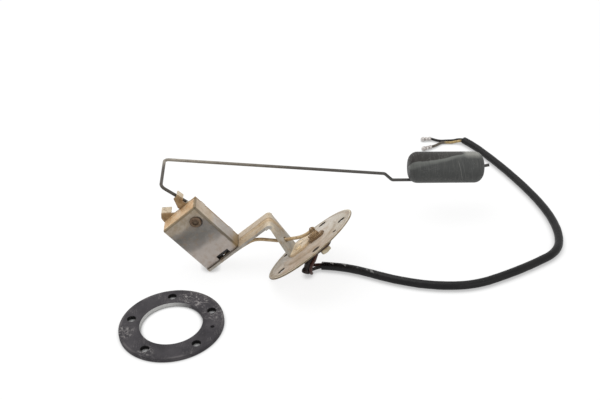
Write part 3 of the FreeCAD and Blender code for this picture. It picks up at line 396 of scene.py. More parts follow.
def makeBracketFinish():
    # golden foot with painted light over its weld dents, grey leg, tan apex, bead with a brown
    # line, painted shade on the strip before the housing and inside it
    material, tree, shader, place = startMaterial("bracketZinc")
    across, deep, up = inFrame(tree, place, housingFrame)
    wave = remap(tree, noise(tree, place, 110.0, 4.0), 0.3, 0.7, -2.5, 2.5)
    fine = noise(tree, place, 340.0, 5.0, 0.68)
    onFlangeX, onFlangeY, overFlange = inFrame(tree, place, flangeFrame)
    foot = times(tree, remap(tree, overFlange, *bracketForm["footTop"]),
                 remap(tree, across, *bracketForm["footStart"]))
    color = ramp(tree, remap(tree, plus(tree, up, wave), -2.0, 27.0), [
        (0.0, tone(166, 156, 138)), (0.14, tone(150, 143, 130)), (0.40, tone(160, 154, 142)),
        (0.74, tone(166, 155, 138)), (0.90, tone(202, 186, 160)), (1.0, tone(206, 189, 162))])
    golden = mixColor(tree, remap(tree, fine, 0.35, 0.65), tone(218, 192, 154), tone(204, 182, 150))
    color = mixColor(tree, foot, color, golden)
    lip = times(tree, foot, remap(tree, overFlange, 2.45, 2.6))
    color = mixColor(tree, times(tree, lip, 0.3), color, tone(226, 208, 178))
    # painted light over the weld dents, hiding their shade
    for weld in bracketForm["welds"]:
        fromWeld = distanceTo(tree, onFlangeX, onFlangeY, weld)
        dentLight = remap(tree, fromWeld, *bracketForm["weldDent"], 0.0, 0.7)
        color = mixColor(tree, times(tree, dentLight, foot), color, tone(238, 222, 196))
    bead = calc(tree, "ABSOLUTE", minus(tree, deep, bracketForm["bead"]))
    high = remap(tree, up, 9.0, 15.0)
    ragged = plus(tree, bead, times(tree, wave, 0.4))
    streak = times(tree, remap(tree, ragged, *bracketForm["beadReach"]), high)
    color = mixColor(tree, times(tree, streak, 0.6), color, tone(186, 158, 120))
    shelf = times(tree, remap(tree, up, *bracketForm["shelfLevel"]),
                  remap(tree, across, *bracketForm["shelfStart"]))
    topTone = mixColor(tree, remap(tree, plus(tree, deep, wave), 10.0, 20.0), tone(180, 162, 136),
                       tone(190, 173, 150))
    besideBead = remap(tree, bead, *reversed(bracketForm["beadReach"]))
    color = mixColor(tree, times(tree, shelf, besideBead), color, topTone)
    line = times(tree, remap(tree, bead, *bracketForm["brownLine"]), remap(tree, up, 22.0, 24.5))
    color = mixColor(tree, times(tree, line, 0.55), color, tone(112, 84, 54))
    # painted shade on the shelf's strip just before the cover
    before = times(tree, remap(tree, deep, 9.9, 9.4), remap(tree, across, -39.5, -41.0))
    paintedShade = mixColor(tree, remap(tree, fine, 0.35, 0.65), tone(96, 86, 76), tone(124, 114, 104))
    color = mixColor(tree, times(tree, before, remap(tree, up, 24.0, 24.8)), color, paintedShade)
    edge = times(tree, remap(tree, deep, *bracketForm["nearEdge"]), remap(tree, up, 22.0, 23.2))
    color = mixColor(tree, edge, color, tone(152, 147, 139))
    # painted shade inside the housing
    insideShade = times(tree, band(tree, deep, 10.3, 21.5, 0.3), remap(tree, across, -40.6, -41.2))
    color = mixColor(tree, insideShade, color, tone(44, 38, 32))
    stains = minus(tree, 0.5, times(tree, foot, 0.3))
    aged = age(tree, place, color, {
        "stain": (138, 108, 70), "pale": (210, 202, 188), "stainAmount": stains, "paleAmount": 0.26,
        "size": 0.7, "roughness": 0.48})
    color = scratchOver(tree, place, aged["Color"], 0.4, (120, 100, 74), minus(tree, 1.0, foot))
    finishMaterial(tree, shader, color, aged["Roughness"], aged["Height"], 0.25, 0.3)
    return material


stopForm = {"plate": 22.3, "lipDepth": (0.7, 1.5), "lipFrom": (27.5, 29.0)}


def makeStopFinish():
    # brown stems with paler lips at the top
    material, tree, shader, place = startMaterial("stopPlate")
    _, deep, up = inFrame(tree, place, housingFrame)
    offPlate = calc(tree, "ABSOLUTE", minus(tree, deep, stopForm["plate"]))
    lip = times(tree, remap(tree, offPlate, *stopForm["lipDepth"]),
                remap(tree, up, *stopForm["lipFrom"]))
    color = mixColor(tree, lip, tone(142, 114, 78), tone(214, 198, 172))
    aged = age(tree, place, color, {
        "stain": (104, 74, 42), "pale": (196, 172, 138), "stainAmount": 0.6, "paleAmount": 0.5,
        "size": 0.45, "roughness": 0.46})
    color = scratchOver(tree, place, aged["Color"], 0.5, (206, 190, 164))
    finishMaterial(tree, shader, color, aged["Roughness"], aged["Height"], 0.3, 0.35)
    return material


# The shade runs across the bench in metres, the crank is told by its depth in millimetres
wireForm = {"span": (-0.10, 0.09), "crank": (58.0, 50.0)}


def makeWireFinish():
    # bare steel, grey at the crank and darker towards the float
    material, tree, shader, place = startMaterial("armWireSteel")
    along = split(tree, place)["X"]
    flecks = noise(tree, place, 420.0, 5.0, 0.7)
    shade = ramp(tree, remap(tree, along, *wireForm["span"]), [
        (0.0, tone(150, 143, 132)), (0.30, tone(120, 113, 103)), (0.52, tone(88, 84, 79)),
        (1.0, tone(70, 69, 68))])
    deep = inFrame(tree, place, housingFrame)["Y"]
    shade = mixColor(tree, remap(tree, deep, *wireForm["crank"]), shade, tone(80, 75, 69))
    color = mixColor(tree, remap(tree, flecks, 0.45, 0.70, 0.0, 0.4), shade, tone(62, 56, 50))
    rough = remap(tree, flecks, 0.3, 0.7, 0.34, 0.50)
    finishMaterial(tree, shader, color, rough, flecks, 0.25, 0.45)
    shader.inputs["Specular IOR Level"].default_value = 0.35
    return material


# Millimetres along the float from its left end
foamMarks = {"pale": (-2.0, 16.0), "wedgeEnd": (40.5, 37.5), "paintedSheen": (40.0, 50.5)}
cutMarks = [
    {"along": 36.4, "width": 0.20, "strength": 0.42},
    {"along": 38.9, "width": 0.14, "strength": 0.22},
]


def makeFloatFinish(floatFrame):
    # cut foam with a soft skin, painted lighter towards the top: a slanted wedge of painted shade,
    # a painted highlight band under it and a painted reflection at the top of the right end
    material, tree, shader, place = startMaterial("floatFoam")
    along, toViewer, lifted = inFrame(tree, place, floatFrame)
    angle = calc(tree, "ARCTAN2", lifted, times(tree, toViewer, -1.0))
    grain = addNode(tree, "ShaderNodeMapping", {"Vector": place, "Scale": (1500.0, 110.0, 110.0)})
    fine = noise(tree, grain.outputs[0], 1.0, 4.0, 0.7)
    soft = remap(tree, noise(tree, place, 120.0, 4.0), 0.3, 0.7, -0.06, 0.06)
    shaken = plus(tree, angle, soft)
    curved = times(tree, times(tree, along, along), 0.0003)
    upper = plus(tree, plus(tree, times(tree, along, 0.006), 0.81), curved)
    lower = plus(tree, times(tree, along, 0.0225), 0.35)
    aboveUpper = minus(tree, shaken, upper)
    aboveLower = minus(tree, shaken, lower)
    # painted light: lighter towards the top and above the lower line
    color = mixColor(tree, remap(tree, shaken, -0.9, 0.6), tone(62, 63, 62), tone(70, 71, 70))
    color = mixColor(tree, remap(tree, aboveLower, -0.06, 0.10), color, tone(94, 96, 93))
    # painted highlight in a band just under the wedge's line
    pale = times(tree, remap(tree, aboveUpper, -0.22, -0.02),
                 remap(tree, along, *foamMarks["pale"]))
    color = mixColor(tree, times(tree, pale, 0.6), color, tone(122, 124, 120))
    # painted shade in the slanted wedge
    shadeWedge = times(tree, remap(tree, aboveUpper, -0.02, 0.05),
                  remap(tree, along, *foamMarks["wedgeEnd"]))
    wedgeShadeTone = mixColor(tree, remap(tree, along, 4.0, 36.0), tone(42, 39, 37), tone(62, 61, 59))
    color = mixColor(tree, shadeWedge, color, wedgeShadeTone)
    # painted reflection at the top of the right end
    paintedSheen = times(tree, band(tree, along, *foamMarks["paintedSheen"], 1.6),
                   remap(tree, shaken, 1.05, 1.45))
    color = mixColor(tree, times(tree, paintedSheen, 0.75), color, tone(158, 158, 152))
    color = mixColor(tree, remap(tree, fine, 0.50, 0.78, 0.0, 0.30), color, tone(122, 122, 117))
    color = mixColor(tree, remap(tree, fine, 0.48, 0.25, 0.0, 0.35), color, tone(48, 48, 47))
    leaning = plus(tree, along, times(tree, angle, 2.8))
    for cutMark in cutMarks:
        near = calc(tree, "ABSOLUTE", minus(tree, leaning, cutMark["along"]))
        thin = remap(tree, near, cutMark["width"], cutMark["width"] * 0.3)
        shown = times(tree, thin, band(tree, angle, -0.3, 0.85, 0.1))
        shown = times(tree, shown, cutMark["strength"])
        color = mixColor(tree, shown, color, tone(156, 156, 151))
    color = scratchOver(tree, place, color, 0.6, (140, 140, 135))
    finishMaterial(tree, shader, color, remap(tree, fine, 0.3, 0.7, 0.44, 0.60), fine, 0.25, 0.0)
    shader.inputs["Specular IOR Level"].default_value = 0.2
    return material


sealForm = {"circle": 27.0, "first": 20.4, "count": 5, "outerEdge": (32.0, 33.2),
            "innerWall": (20.35, 20.1), "holeShade": (3.05, 2.8)}
# Each chalky scuff's middle and reach, in millimetres from the seal's centre
scuffs = [((11.0, 24.0), 10.0), ((18.0, 19.0), 7.0), ((27.0, 7.0), 9.0), ((-30.0, -5.0), 9.0),
          ((-14.0, -25.0), 6.0)]


def makeRubberFinish():
    # charcoal rubber, chalky scuffs in three patches, painted light on the inner wall's upper left,
    # painted shade in the holes
    material, tree, shader, place = startMaterial("sealRubber")
    low, high = (Vector(c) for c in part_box("mounting_gasket"))
    middle = (low + high) / 2
    moved = addNode(tree, "ShaderNodeVectorMath", {0: place, 1: middle}, operation="SUBTRACT")
    sized = addNode(tree, "ShaderNodeVectorMath", {0: moved.outputs[0], 1: (1000.0,) * 3},
                    operation="MULTIPLY")
    across, deep, _ = split(tree, sized.outputs[0])
    radius = distanceTo(tree, across, deep, (0.0, 0.0))
    broad = noise(tree, place, 60.0, 4.0, 0.6)
    chalk = noise(tree, place, 420.0, 6.0, 0.75, 0.8)
    color = mixColor(tree, remap(tree, broad, 0.35, 0.65), tone(54, 52, 55), tone(74, 71, 74))
    patches = None
    for spot, reach in scuffs:
        one = remap(tree, distanceTo(tree, across, deep, spot), reach, reach * 0.4)
        patches = one if patches is None else calc(tree, "MAXIMUM", patches, one)
    scuffed = times(tree, remap(tree, chalk, 0.51, 0.63), patches)
    color = mixColor(tree, times(tree, scuffed, 0.75), color, tone(172, 168, 166))
    edge = times(tree, band(tree, radius, *sealForm["outerEdge"], 0.4),
                 remap(tree, broad, 0.42, 0.6))
    color = mixColor(tree, times(tree, edge, 0.45), color, tone(118, 114, 113))
    # painted light on the upper left of the inner wall
    upperLeft = remap(tree, minus(tree, deep, across), 4.0, 22.0)
    wall = times(tree, remap(tree, radius, *sealForm["innerWall"]), upperLeft)
    color = mixColor(tree, times(tree, wall, 0.85), color, tone(198, 198, 196))
    # painted shade on the walls of the holes
    fromHole = distanceToHoles(tree, across, deep, sealForm)
    color = mixColor(tree, remap(tree, fromHole, *sealForm["holeShade"]), color, tone(20, 19, 20))
    color = scratchOver(tree, place, color, 0.7, (150, 146, 144))
    rough = remap(tree, chalk, 0.3, 0.7, 0.55, 0.8)
    finishMaterial(tree, shader, color, rough, chalk, 0.35, 0.0, 0.00015)
    shader.inputs["Specular IOR Level"].default_value = 0.15
    return material


def makeSleeveFinish():
    # black soft sleeve, glossier and creased near the terminal, with painted highlights along its
    # top there
    material, tree, shader, place = startMaterial("sleeveVinyl")
    crease = noise(tree, place, 190.0, 3.0, 0.55, 1.2)
    dull = noise(tree, place, 60.0, 4.0)
    color = mixColor(tree, remap(tree, dull, 0.4, 0.7), tone(12, 12, 13), tone(26, 25, 25))
    dusty = remap(tree, noise(tree, place, 700.0, 4.0, 0.7), 0.64, 0.76, 0.0, 0.3)
    color = mixColor(tree, dusty, color, tone(110, 108, 104))
    start = remap(tree, split(tree, place)["X"], 0.06, 0.02)
    facing = split(tree, addNode(tree, "ShaderNodeNewGeometry").outputs["Normal"])["Z"]
    # painted highlights along the top near the terminal
    topLine = times(tree, remap(tree, facing, 0.80, 0.95), start)
    shine = times(tree, remap(tree, noise(tree, place, 190.0, 2.0, 0.4, 0.6), 0.58, 0.64), topLine)
    color = mixColor(tree, times(tree, shine, 0.75), color, tone(170, 169, 167))
    rough = minus(tree, remap(tree, dull, 0.3, 0.7, 0.34, 0.50), times(tree, start, 0.14))
    finishMaterial(tree, shader, color, rough, crease, 0.45, 0.0, 0.0006)
    shader.inputs["Specular IOR Level"].default_value = 0.2
    return material


# Metres across the bench, where the insulation is cooked and where it is tan
signalForm = {"cooked": (0.03, 0.08), "tan": (0.1165, 0.1285)}


def makeSignalFinish():
    # dark red-brown near the terminal, tan where it leaves the sleeve, grimy at the connector
    material, tree, shader, place = startMaterial("signalInsulation")
    along = split(tree, place)["X"]
    flecks = noise(tree, place, 500.0, 4.0, 0.6)
    tan = band(tree, along, *signalForm["tan"], 0.0015)
    far = mixColor(tree, tan, tone(92, 84, 74), tone(178, 154, 104))
    color = mixColor(tree, remap(tree, along, *signalForm["cooked"]), tone(66, 32, 24), far)
    color = mixColor(tree, remap(tree, flecks, 0.45, 0.68, 0.0, 0.5), color, tone(44, 34, 26))
    finishMaterial(tree, shader, color, remap(tree, flecks, 0.3, 0.7, 0.3, 0.5), flecks, 0.25, 0.0)
    shader.inputs["Specular IOR Level"].default_value = 0.3
    return material


threadForm = {"pitch": 0.7}


def makeThreadFinish():
    # the stud's turned thread under the same stain as the rest of the stack
    material, tree, shader, place = startMaterial("studThread")
    up = inFrame(tree, place, flangeFrame)["Z"]
    aged = age(tree, place, tone(150, 122, 84), {
        "stain": (82, 58, 34), "pale": (196, 172, 130), "stainAmount": 0.6, "paleAmount": 0.5,
        "size": 0.3, "roughness": 0.40})
    turns = calc(tree, "SINE", times(tree, up, 2 * math.pi / threadForm["pitch"]))
    finishMaterial(tree, shader, aged["Color"], aged["Roughness"], turns, 0.8, 0.5, 0.00012)
    return material


finishes = {
    "flange": makeFlangeFinish(),
    "cover": makeCoverFinish(),
    "bracket": makeBracketFinish(),
    "wire": makeWireFinish(),
    "rubber": makeRubberFinish(),
    "sleeve": makeSleeveFinish(),
    "signal": makeSignalFinish(),
    "thread": makeThreadFinish(),
    "stop": makeStopFinish(),
    "lever": agedMaterial("leverZinc", {
        "base": (178, 168, 148), "stain": (132, 100, 62), "pale": (210, 202, 186),
        "stainAmount": 0.5, "paleAmount": 0.5, "size": 0.5, "roughness": 0.45, "bump": 0.3,
        "metallic": 0.5, "scratch": 0.5}),
    "eyelet": agedMaterial("eyeletBrown", {
        "base": (104, 84, 66), "stain": (56, 42, 30), "pale": (150, 132, 110), "stainAmount": 0.7,
        "paleAmount": 0.4, "size": 0.35, "roughness": 0.42, "bump": 0.3, "metallic": 0.6}),
    "rivet": agedMaterial("rivetZinc", {
        "base": (210, 188, 152), "stain": (160, 132, 96), "pale": (226, 210, 182),
        "stainAmount": 0.3, "paleAmount": 0.4, "size": 0.35, "roughness": 0.45, "bump": 0.2,
        "metallic": 0.3}),
    "brass": agedMaterial("dullBrass", {
        "base": (178, 148, 92), "stain": (104, 74, 40), "pale": (220, 204, 160), "stainAmount": 0.6,
        "paleAmount": 0.5, "size": 0.3, "roughness": 0.38, "bump": 0.25, "metallic": 0.75,
        "scratch": 0.4}),
    "stack": agedMaterial("agedStack", {
        "base": (138, 112, 80), "stain": (80, 56, 32), "pale": (176, 150, 116), "stainAmount": 0.6,
        "paleAmount": 0.5, "size": 0.3, "roughness": 0.46, "bump": 0.3, "metallic": 0.3}),
    "paleNut": agedMaterial("paleBrass", {
        "base": (184, 172, 146), "stain": (116, 96, 64), "pale": (220, 212, 192),
        "stainAmount": 0.5, "paleAmount": 0.5, "size": 0.3, "roughness": 0.40, "bump": 0.25,
        "metallic": 0.55}),
    "shaft": agedMaterial("shaftSteel", {
        "base": (92, 76, 60), "stain": (48, 36, 26), "pale": (132, 118, 100), "stainAmount": 0.6,
        "paleAmount": 0.3, "size": 0.3, "roughness": 0.4, "bump": 0.3, "metallic": 0.7}),
    "board": agedMaterial("cardLaminate", {
        "base": (34, 31, 29), "stain": (22, 19, 17), "pale": (66, 60, 54), "stainAmount": 0.5,
        "paleAmount": 0.4, "size": 0.5, "roughness": 0.42, "bump": 0.2, "metallic": 0.0}),
    "winding": agedMaterial("windingWire", {
        "base": (168, 156, 138), "stain": (110, 92, 66), "pale": (206, 198, 182),
        "stainAmount": 0.4, "paleAmount": 0.4, "size": 0.3, "roughness": 0.34, "bump": 0.1,
        "metallic": 0.8}),
    "fibre": agedMaterial("redFibre", {
        "base": (112, 86, 58), "stain": (70, 50, 34), "pale": (150, 124, 90), "stainAmount": 0.6,
        "paleAmount": 0.4, "size": 0.3, "roughness": 0.6, "bump": 0.3, "metallic": 0.0}),
    "resin": agedMaterial("blockResin", {
        "base": (46, 28, 22), "stain": (26, 14, 12), "pale": (92, 66, 48), "stainAmount": 0.7,
        "paleAmount": 0.3, "size": 0.4, "roughness": 0.42, "bump": 0.3, "metallic": 0.0,
        "scratch": 0.3, "gloss": 0.25}),
    "lead": agedMaterial("leadCotton", {
        "base": (186, 160, 120), "stain": (120, 88, 54), "pale": (214, 196, 164),
        "stainAmount": 0.8, "paleAmount": 0.5, "size": 0.45, "roughness": 0.62, "bump": 0.4,
        "metallic": 0.0}),
    "black": agedMaterial("earthInsulation", {
        "base": (30, 27, 26), "stain": (48, 38, 32), "pale": (74, 70, 66), "stainAmount": 0.4,
        "paleAmount": 0.2, "size": 0.4, "roughness": 0.38, "bump": 0.2, "metallic": 0.0,
        "gloss": 0.22}),
    "tape": agedMaterial("coreTape", {
        "base": (30, 20, 17), "stain": (14, 11, 10), "pale": (66, 46, 36), "stainAmount": 0.6,
        "paleAmount": 0.35, "size": 0.3, "roughness": 0.42, "bump": 0.5, "metallic": 0.0,
        "gloss": 0.25}),
    "tin": agedMaterial("tinnedBrass", {
        "base": (186, 180, 176), "stain": (98, 92, 88), "pale": (226, 224, 222), "stainAmount": 0.7,
        "paleAmount": 0.6, "size": 0.22, "roughness": 0.32, "bump": 0.35, "metallic": 0.75,
        "scratch": 0.6}),
}
print("finishes made")

camera = {"place": mm(-11.64, -503.78, 381.82), "lens": 55.78,
          "right": (0.99722, -0.05152, -0.05768), "down": (-0.07643, -0.53794, -0.83976),
          "ahead": (0.01226, 0.84142, -0.54025), "sensor": 36.0, "nearest": 0.01}
view = bpy.data.objects.new("viewCamera", bpy.data.cameras.new("viewCamera"))
bpy.context.scene.collection.objects.link(view)
view.data.lens = camera["lens"]
view.data.sensor_width = camera["sensor"]
view.data.clip_start = camera["nearest"]
axes = [Vector(camera["right"]), -Vector(camera["down"]), -Vector(camera["ahead"])]
turned = Matrix(axes).transposed().to_4x4()
view.matrix_world = Matrix.Translation(camera["place"] + benchShift) @ turned
bpy.context.scene.camera = view


def seenDirectly(tree):
    # one for rays from the camera and for reflections, nought for the light on the part
    rays = tree.nodes.new("ShaderNodeLightPath").outputs
    return calc(tree, "MAXIMUM", rays["Is Camera Ray"], rays["Is Glossy Ray"])


room = {"fill": 0.62, "backdrop": 1.0}
world = bpy.data.worlds.new("paleRoom")
bpy.context.scene.world = world
world.use_nodes = True
tree = world.node_tree
tree.nodes.clear()
plain = addNode(tree, "ShaderNodeBackground", {"Color": (1, 1, 1, 1), "Strength": room["fill"]})
white = addNode(tree, "ShaderNodeBackground", {"Color": (1, 1, 1, 1), "Strength": room["backdrop"]})
direct = seenDirectly(tree)
sky = addNode(tree, "ShaderNodeMixShader", {0: direct, 1: plain.outputs[0], 2: white.outputs[0]})
addNode(tree, "ShaderNodeOutputWorld", {"Surface": sky.outputs[0]})

lamps = [
    {"name": "ceilingSoftbox", "place": (-0.25, 0.25, 0.95), "size": 0.9, "power": 5.0},
    {"name": "frontFill", "place": (0.55, -0.75, 0.45), "size": 0.7, "power": 1.6},
]
for lamp in lamps:
    light = bpy.data.lights.new(lamp["name"], "AREA")
    light.size = lamp["size"]
    light.energy = lamp["power"]
    holder = bpy.data.objects.new(lamp["name"], light)
    bpy.context.scene.collection.objects.link(holder)
    holder.location = lamp["place"]
    towardsPart = -Vector(lamp["place"])
    holder.rotation_euler = towardsPart.to_track_quat("-Z", "Y").to_euler()

floorForm = {"size": 6.0, "drop": 0.0001, "shadowReach": 0.006, "openShade": 0.60,
             "sealShade": 0.05, "sealEdge": (0.034, 0.033), "brightest": 1.06, "share": 0.80}
bpy.ops.object.select_all(action="DESELECT")
bpy.ops.mesh.primitive_plane_add(size=floorForm["size"], location=(0, 0, -floorForm["drop"]))
floor = bpy.context.object
floor.name = "benchTop"
bpy.ops.object.transform_apply(location=True, rotation=True, scale=True)
material, tree, shader, place = startMaterial("paleBench")
cloudy = remap(tree, noise(tree, place, 14.0, 3.0), 0.3, 0.7, 0.90, 0.93)
shader.inputs["Roughness"].default_value = 0.9
shader.inputs["Specular IOR Level"].default_value = 0.0
plug(tree, cloudy, shader.inputs["Base Color"])
# a close contact shadow, deepest under the seal
nearby = addNode(tree, "ShaderNodeAmbientOcclusion", {"Distance": floorForm["shadowReach"]},
                 samples=12).outputs["AO"]
sealLow, sealHigh = (Vector(c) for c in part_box("mounting_gasket"))
sealCentre = (sealLow + sealHigh) / 2
spot = split(tree, place)
fromSeal = distanceTo(tree, spot["X"], spot["Y"], sealCentre)
underSeal = remap(tree, fromSeal, *floorForm["sealEdge"])
dimmest = remap(tree, underSeal, 0.0, 1.0, floorForm["openShade"], floorForm["sealShade"])
strength = remap(tree, nearby, 0.40, 0.82, dimmest, floorForm["brightest"])
glow = addNode(tree, "ShaderNodeEmission", {"Color": (1, 1, 1, 1), "Strength": strength})
lit = addNode(tree, "ShaderNodeMixShader", {
    0: floorForm["share"], 1: shader.outputs[0], 2: glow.outputs[0]})
seen = addNode(tree, "ShaderNodeMixShader", {
    0: seenDirectly(tree), 1: shader.outputs[0], 2: lit.outputs[0]})
plug(tree, seen.outputs[0], tree.nodes["Material Output"].inputs["Surface"])
floor.data.materials.append(material)
bpy.context.scene.view_settings.view_transform = "Standard"
print("camera, lights and floor set")


def activate(piece):
    bpy.ops.object.select_all(action="DESELECT")
    piece.select_set(True)
    bpy.context.view_layer.objects.active = piece


def dress(piece, finish, body="sender", name=None):
    if name:
        piece.name = name
        piece.data.name = name
    piece.data.materials.clear()
    piece.data.materials.append(finishes[finish])
    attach(piece, body)
    return piece


def routeCurve(name, points, radius, steps=12):
    # smooth line through the bench, its control points those of the route
    curve = bpy.data.curves.new(name, "CURVE")
    curve.dimensions = "3D"
    curve.bevel_depth = radius
    curve.bevel_resolution = 5
    curve.resolution_u = steps
    curve.use_fill_caps = True
    line = curve.splines.new("NURBS")
    line.points.add(len(points) - 1)
    for knot, point in zip(line.points, points):
        knot.co = (*point, 1.0)
    line.order_u = 3
    line.use_endpoint_u = True
    piece = bpy.data.objects.new(name, curve)
    bpy.context.scene.collection.objects.link(piece)
    return piece


def lineOf(piece):
    # points along a curve with no bevel, and their length
    thin = bpy.data.objects.new("thinLine", piece.data.copy())
    thin.data.bevel_depth = 0.0
    bpy.context.scene.collection.objects.link(thin)
    bpy.context.view_layer.update()
    evaluated = thin.evaluated_get(bpy.context.evaluated_depsgraph_get())
    mesh = bpy.data.meshes.new_from_object(evaluated)
    points = [vertex.co.copy() for vertex in mesh.vertices]
    bpy.data.meshes.remove(mesh)
    bpy.data.curves.remove(thin.data)
    return points, sum((b - a).length for a, b in zip(points, points[1:]))


def benchPoints(route):
    return [Vector(p) / 1000 + benchShift for p in route]


# The cable's two cores, its sleeve and the two tails at the far end
signalCore = {
    "route": [(4.46, -4.12, 18.34), (3.0, -6.0, 15.0), (0.8, -7.4, 12.0), (-0.6, -7.6, 8.4),
              (-0.4, -6.6, 4.0), (0.4, -3.6, 1.4), (-2.6, -0.4, 1.3), (-4.4, 1.8, 1.8),
              (-2.0, 3.9, 2.2), (2.6, 3.9, 2.8), (7.64, 3.03, 3.05)],
    "radius": 0.0011}
earthCore = {
    "route": [(-5.21, -5.50, 14.62), (-3.0, -4.6, 11.4), (-2.8, -4.0, 7.4), (-2.6, -3.6, 4.0),
              (-0.6, -1.2, 2.2), (3.2, 0.6, 2.5), (7.16, 0.77, 3.05)],
    "radius": 0.0011}
coreWrap = {
    "route": [(2.2, -2.6, 15.6), (0.9, -2.9, 13.2), (-1.4, -3.3, 9.0), (-2.6, -4.0, 6.2),
              (-3.6, -4.6, 4.0), (-3.9, -4.9, 3.2)],
    "fullness": [0.8, 1.0, 0.85, 0.72, 1.0, 0.75], "radius": 0.0034, "lumps": 0.0005,
    "lumpSize": 0.003, "smoothUpTo": 60}
sleeve = {
    "route": [(7.4, 1.9, 3.05), (17.8, -0.3, 3.05), (32.8, -6.8, 3.05), (52.7, -19.0, 3.05),
              (76.6, -28.8, 3.05), (103.4, -32.1, 3.05), (128.2, -23.4, 3.05), (150.1, -12.9, 3.05),
              (166.4, -3.2, 3.05), (173.3, 13.2, 3.05), (174.5, 35.1, 3.05), (171.4, 59.0, 3.05),
              (164.4, 85.9, 3.05), (156.3, 110.9, 3.05), (147.8, 132.9, 3.05), (141.4, 148.0, 3.05),
              (135.5, 157.6, 3.05)],
    "radius": 0.0030, "middle": 0.00305, "wall": 0.0006, "flat": 0.10, "crease": 0.00022,
    "creaseSize": 0.006, "smoothUpTo": 50}
signalTail = {
    "route": [(134.52, 157.00, 3.05), (131.0, 158.4, 2.4), (126.2, 158.4, 1.3), (121.8, 159.2, 1.3),
              (117.6, 159.8, 1.3), (114.2, 157.2, 1.4), (111.7, 154.9, 1.6), (107.8, 152.9, 1.9)],
    "radius": 0.0011}
earthTail = {
    "route": [(136.48, 158.20, 3.05), (132.6, 161.4, 2.4), (127.2, 161.5, 1.3), (122.3, 162.2, 1.3),
              (117.6, 162.3, 1.3), (113.6, 163.8, 1.5), (109.9, 166.4, 1.9)],
    "radius": 0.0011}

cores = []
for name, node, form, finish, slotName in (
        ("signalCore", "signal_core", signalCore, "signal", "core_signal"),
        ("earthCore", "earth_core", earthCore, "black", "core_black"),
        ("signalTail", "signal_tail", signalTail, "signal", "core_signal"),
        ("earthTail", "earth_tail", earthTail, "black", "core_black")):
    piece = routeCurve(name, benchPoints(form["route"]), form["radius"])
    dress(piece, finish)
    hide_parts(node)
    cores.append(piece)

wrapLine = routeCurve("coreWrap", benchPoints(coreWrap["route"]), coreWrap["radius"])
for knot, fullness in zip(wrapLine.data.splines[0].points, coreWrap["fullness"]):
    knot.radius = fullness
activate(wrapLine)
bpy.ops.object.convert(target="MESH")
wrapPiece = bpy.context.object
lumps = bpy.data.textures.new("tapeLumps", "CLOUDS")
lumps.noise_scale = coreWrap["lumpSize"]
folds = wrapPiece.modifiers.new("folds", "DISPLACE")
folds.texture = lumps
folds.strength = coreWrap["lumps"]
bpy.ops.object.modifier_apply(modifier="folds")
bpy.ops.object.shade_smooth_by_angle(angle=math.radians(coreWrap["smoothUpTo"]))
dress(wrapPiece, "tape")

sleeveLine = routeCurve("cableSleeve", benchPoints(sleeve["route"]), sleeve["radius"], 24)
sleeveLine.data.use_fill_caps = False
sleevePath, sleeveLength = lineOf(sleeveLine)
activate(sleeveLine)
bpy.ops.object.convert(target="MESH")
sleevePiece = bpy.context.object
for vertex in sleevePiece.data.vertices:
    # the sleeve lies a little flattened on the bench
    vertex.co.z = sleeve["middle"] + (vertex.co.z - sleeve["middle"]) * (1 - sleeve["flat"] / 2)
creases = bpy.data.textures.new("creaseClouds", "CLOUDS")
creases.noise_scale = sleeve["creaseSize"]
ripple = sleevePiece.modifiers.new("creases", "DISPLACE")
ripple.texture = creases
ripple.strength = sleeve["crease"]
ripple.mid_level = 1.0
bpy.ops.object.modifier_apply(modifier="creases")
shell = sleevePiece.modifiers.new("wall", "SOLIDIFY")
shell.thickness = sleeve["wall"]
shell.offset = -1.0
bpy.ops.object.modifier_apply(modifier="wall")
bpy.ops.object.shade_smooth_by_angle(angle=math.radians(sleeve["smoothUpTo"]))
dress(sleevePiece, "sleeve")
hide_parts("cable_sleeve")
print("cable laid, sleeve", round(sleeveLength, 4))


def dressNode(node, finish):
    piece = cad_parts[node]
    piece.data.materials.clear()
    piece.data.materials.append(finishes[finish])


# The merging distance in metres, the angles in degrees
softening = {"merge": 0.000002, "flatten": 0.6, "bevelFrom": 38.0, "smoothUpTo": 32}


def softenedCopy(node, finish, slot, body, edge, segments=2):
    # the node's own shape, merged, its sharp sheet edges eased
    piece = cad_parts[node].copy()
    piece.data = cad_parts[node].data.copy()
    for key in list(piece.keys()):
        del piece[key]
    piece.parent = None
    piece.matrix_world = Matrix.Identity(4)
    bpy.context.scene.collection.objects.link(piece)
    activate(piece)
    bpy.ops.object.mode_set(mode="EDIT")
    bpy.ops.mesh.select_all(action="SELECT")
    bpy.ops.mesh.remove_doubles(threshold=softening["merge"])
    bpy.ops.mesh.dissolve_limited(angle_limit=math.radians(softening["flatten"]))
    bpy.ops.object.mode_set(mode="OBJECT")
    if edge:
        ease = piece.modifiers.new("ease", "BEVEL")
        ease.width = edge
        ease.segments = segments
        ease.limit_method = "ANGLE"
        ease.angle_limit = math.radians(softening["bevelFrom"])
        ease.use_clamp_overlap = True
        bpy.ops.object.modifier_apply(modifier="ease")
    bpy.ops.object.shade_smooth_by_angle(angle=math.radians(softening["smoothUpTo"]))
    dress(piece, finish, body, name=camel(node))
    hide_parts(node)
    return piece


def camel(node):
    first, *rest = node.split("_")
    return first + "".join(word.capitalize() for word in rest)


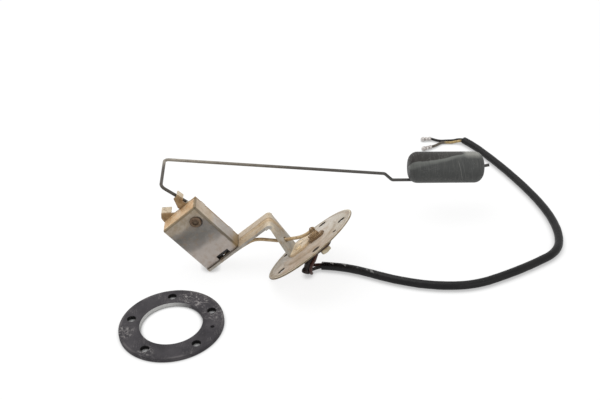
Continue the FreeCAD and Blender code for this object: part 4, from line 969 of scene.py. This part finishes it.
softened = [
    ("flange_plate", "flange", "zinc_plate", "sender", 0.00012),
    ("bracket_strip", "bracket", "zinc_plate", "sender", 0.0002),
    ("housing_cover", "cover", "cover_zinc", "sender", 0.00012),
    ("back_plate", "stop", "stop_plate", "sender", 0.0002),
    ("cover_eyelet", "eyelet", "cover_zinc", "sender", 0.00015),
    ("pivot_bush", "brass", "spring_brass", "sender", 0.00015),
    ("card_post_left", "brass", "spring_brass", "sender", 0.0001),
    ("card_post_right", "brass", "spring_brass", "sender", 0.0001),
    ("resistor_card", "board", "card_board", "sender", 0.0001),
    ("card_terminal", "stack", "crimp_tin", "sender", 0.0001),
    ("lead_tag", "stack", "spring_brass", "sender", 0.0001),
    ("inner_insulator", "fibre", "fibre", "sender", 0.0001),
    ("clamp_plate", "stack", "spring_brass", "sender", 0.0001),
    ("inner_nut", "stack", "spring_brass", "sender", 0.00025),
    ("terminal_stud", "thread", "spring_brass", "sender", 0.00015),
    ("outer_nut", "paleNut", "spring_brass", "sender", 0.0003),
    ("outer_block", "resin", "block_resin", "sender", 0.0002),
    ("outer_tag", "brass", "spring_brass", "sender", 0.0001),
    ("earth_tag", "tin", "crimp_tin", "sender", 0.0001),
    ("earth_rivet", "rivet", "cover_zinc", "sender", 0.0),
    ("pivot_shaft", "shaft", "wire_steel", "float_arm", 0.0003),
    ("wiper_arm", "brass", "spring_brass", "float_arm", 0.00008),
    ("wiper_contact", "tin", "crimp_tin", "float_arm", 0.0),
    ("arm_lever", "lever", "zinc_plate", "float_arm", 0.0002),
    ("float_wire", "wire", "wire_steel", "float_arm", 0.0),
]
for row in softened:
    softenedCopy(*row)
dressNode("resistance_winding", "winding")
dressNode("signal_bullet", "tin")
dressNode("earth_bullet", "tin")
print("sheet parts dressed")

floatForm = {"start": (75.19, 62.7, 38.74), "end": (128.80, 62.7, 34.33)}
start, end = benchPoints([floatForm["start"], floatForm["end"]])
axis = (end - start).normalized()
away = Vector((0, 1, 0))
floatAxes = Matrix((axis, away, axis.cross(away))).transposed().to_4x4()
floatFrame = Matrix.Translation(start) @ floatAxes
finishes["foam"] = makeFloatFinish(floatFrame)
softenedCopy("float_body", "foam", "float_foam", "float_arm", 0.0)
print("float made")

softenedCopy("mounting_gasket", "rubber", "gasket_rubber", "sender", 0.00035, 3)
print("seal made")

leadForm = {"route": [(-58.65, 14.75, 11.93), (-55.6, 13.1, 9.20), (-50.02, 12.8, 13.45),
                      (-43.2, 12.6, 18.36), (-35.87, 12.3, 22.26), (-23.99, 11.4, 20.47),
                      (-19.15, 8.8, 21.37), (-12.24, 7.0, 23.84), (-7.43, 5.5, 25.1),
                      (-2.85, 5.4, 26.68), (0.64, 5.5, 28.69), (3.6, 5.97, 31.9)],
            "radius": 0.00115}
lead = routeCurve("innerLead", benchPoints(leadForm["route"]), leadForm["radius"])
dress(lead, "lead")
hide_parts("inner_lead")
print("lead laid")

signalLine, signalLength = lineOf(cores[0])
leadLine, leadLength = lineOf(lead)
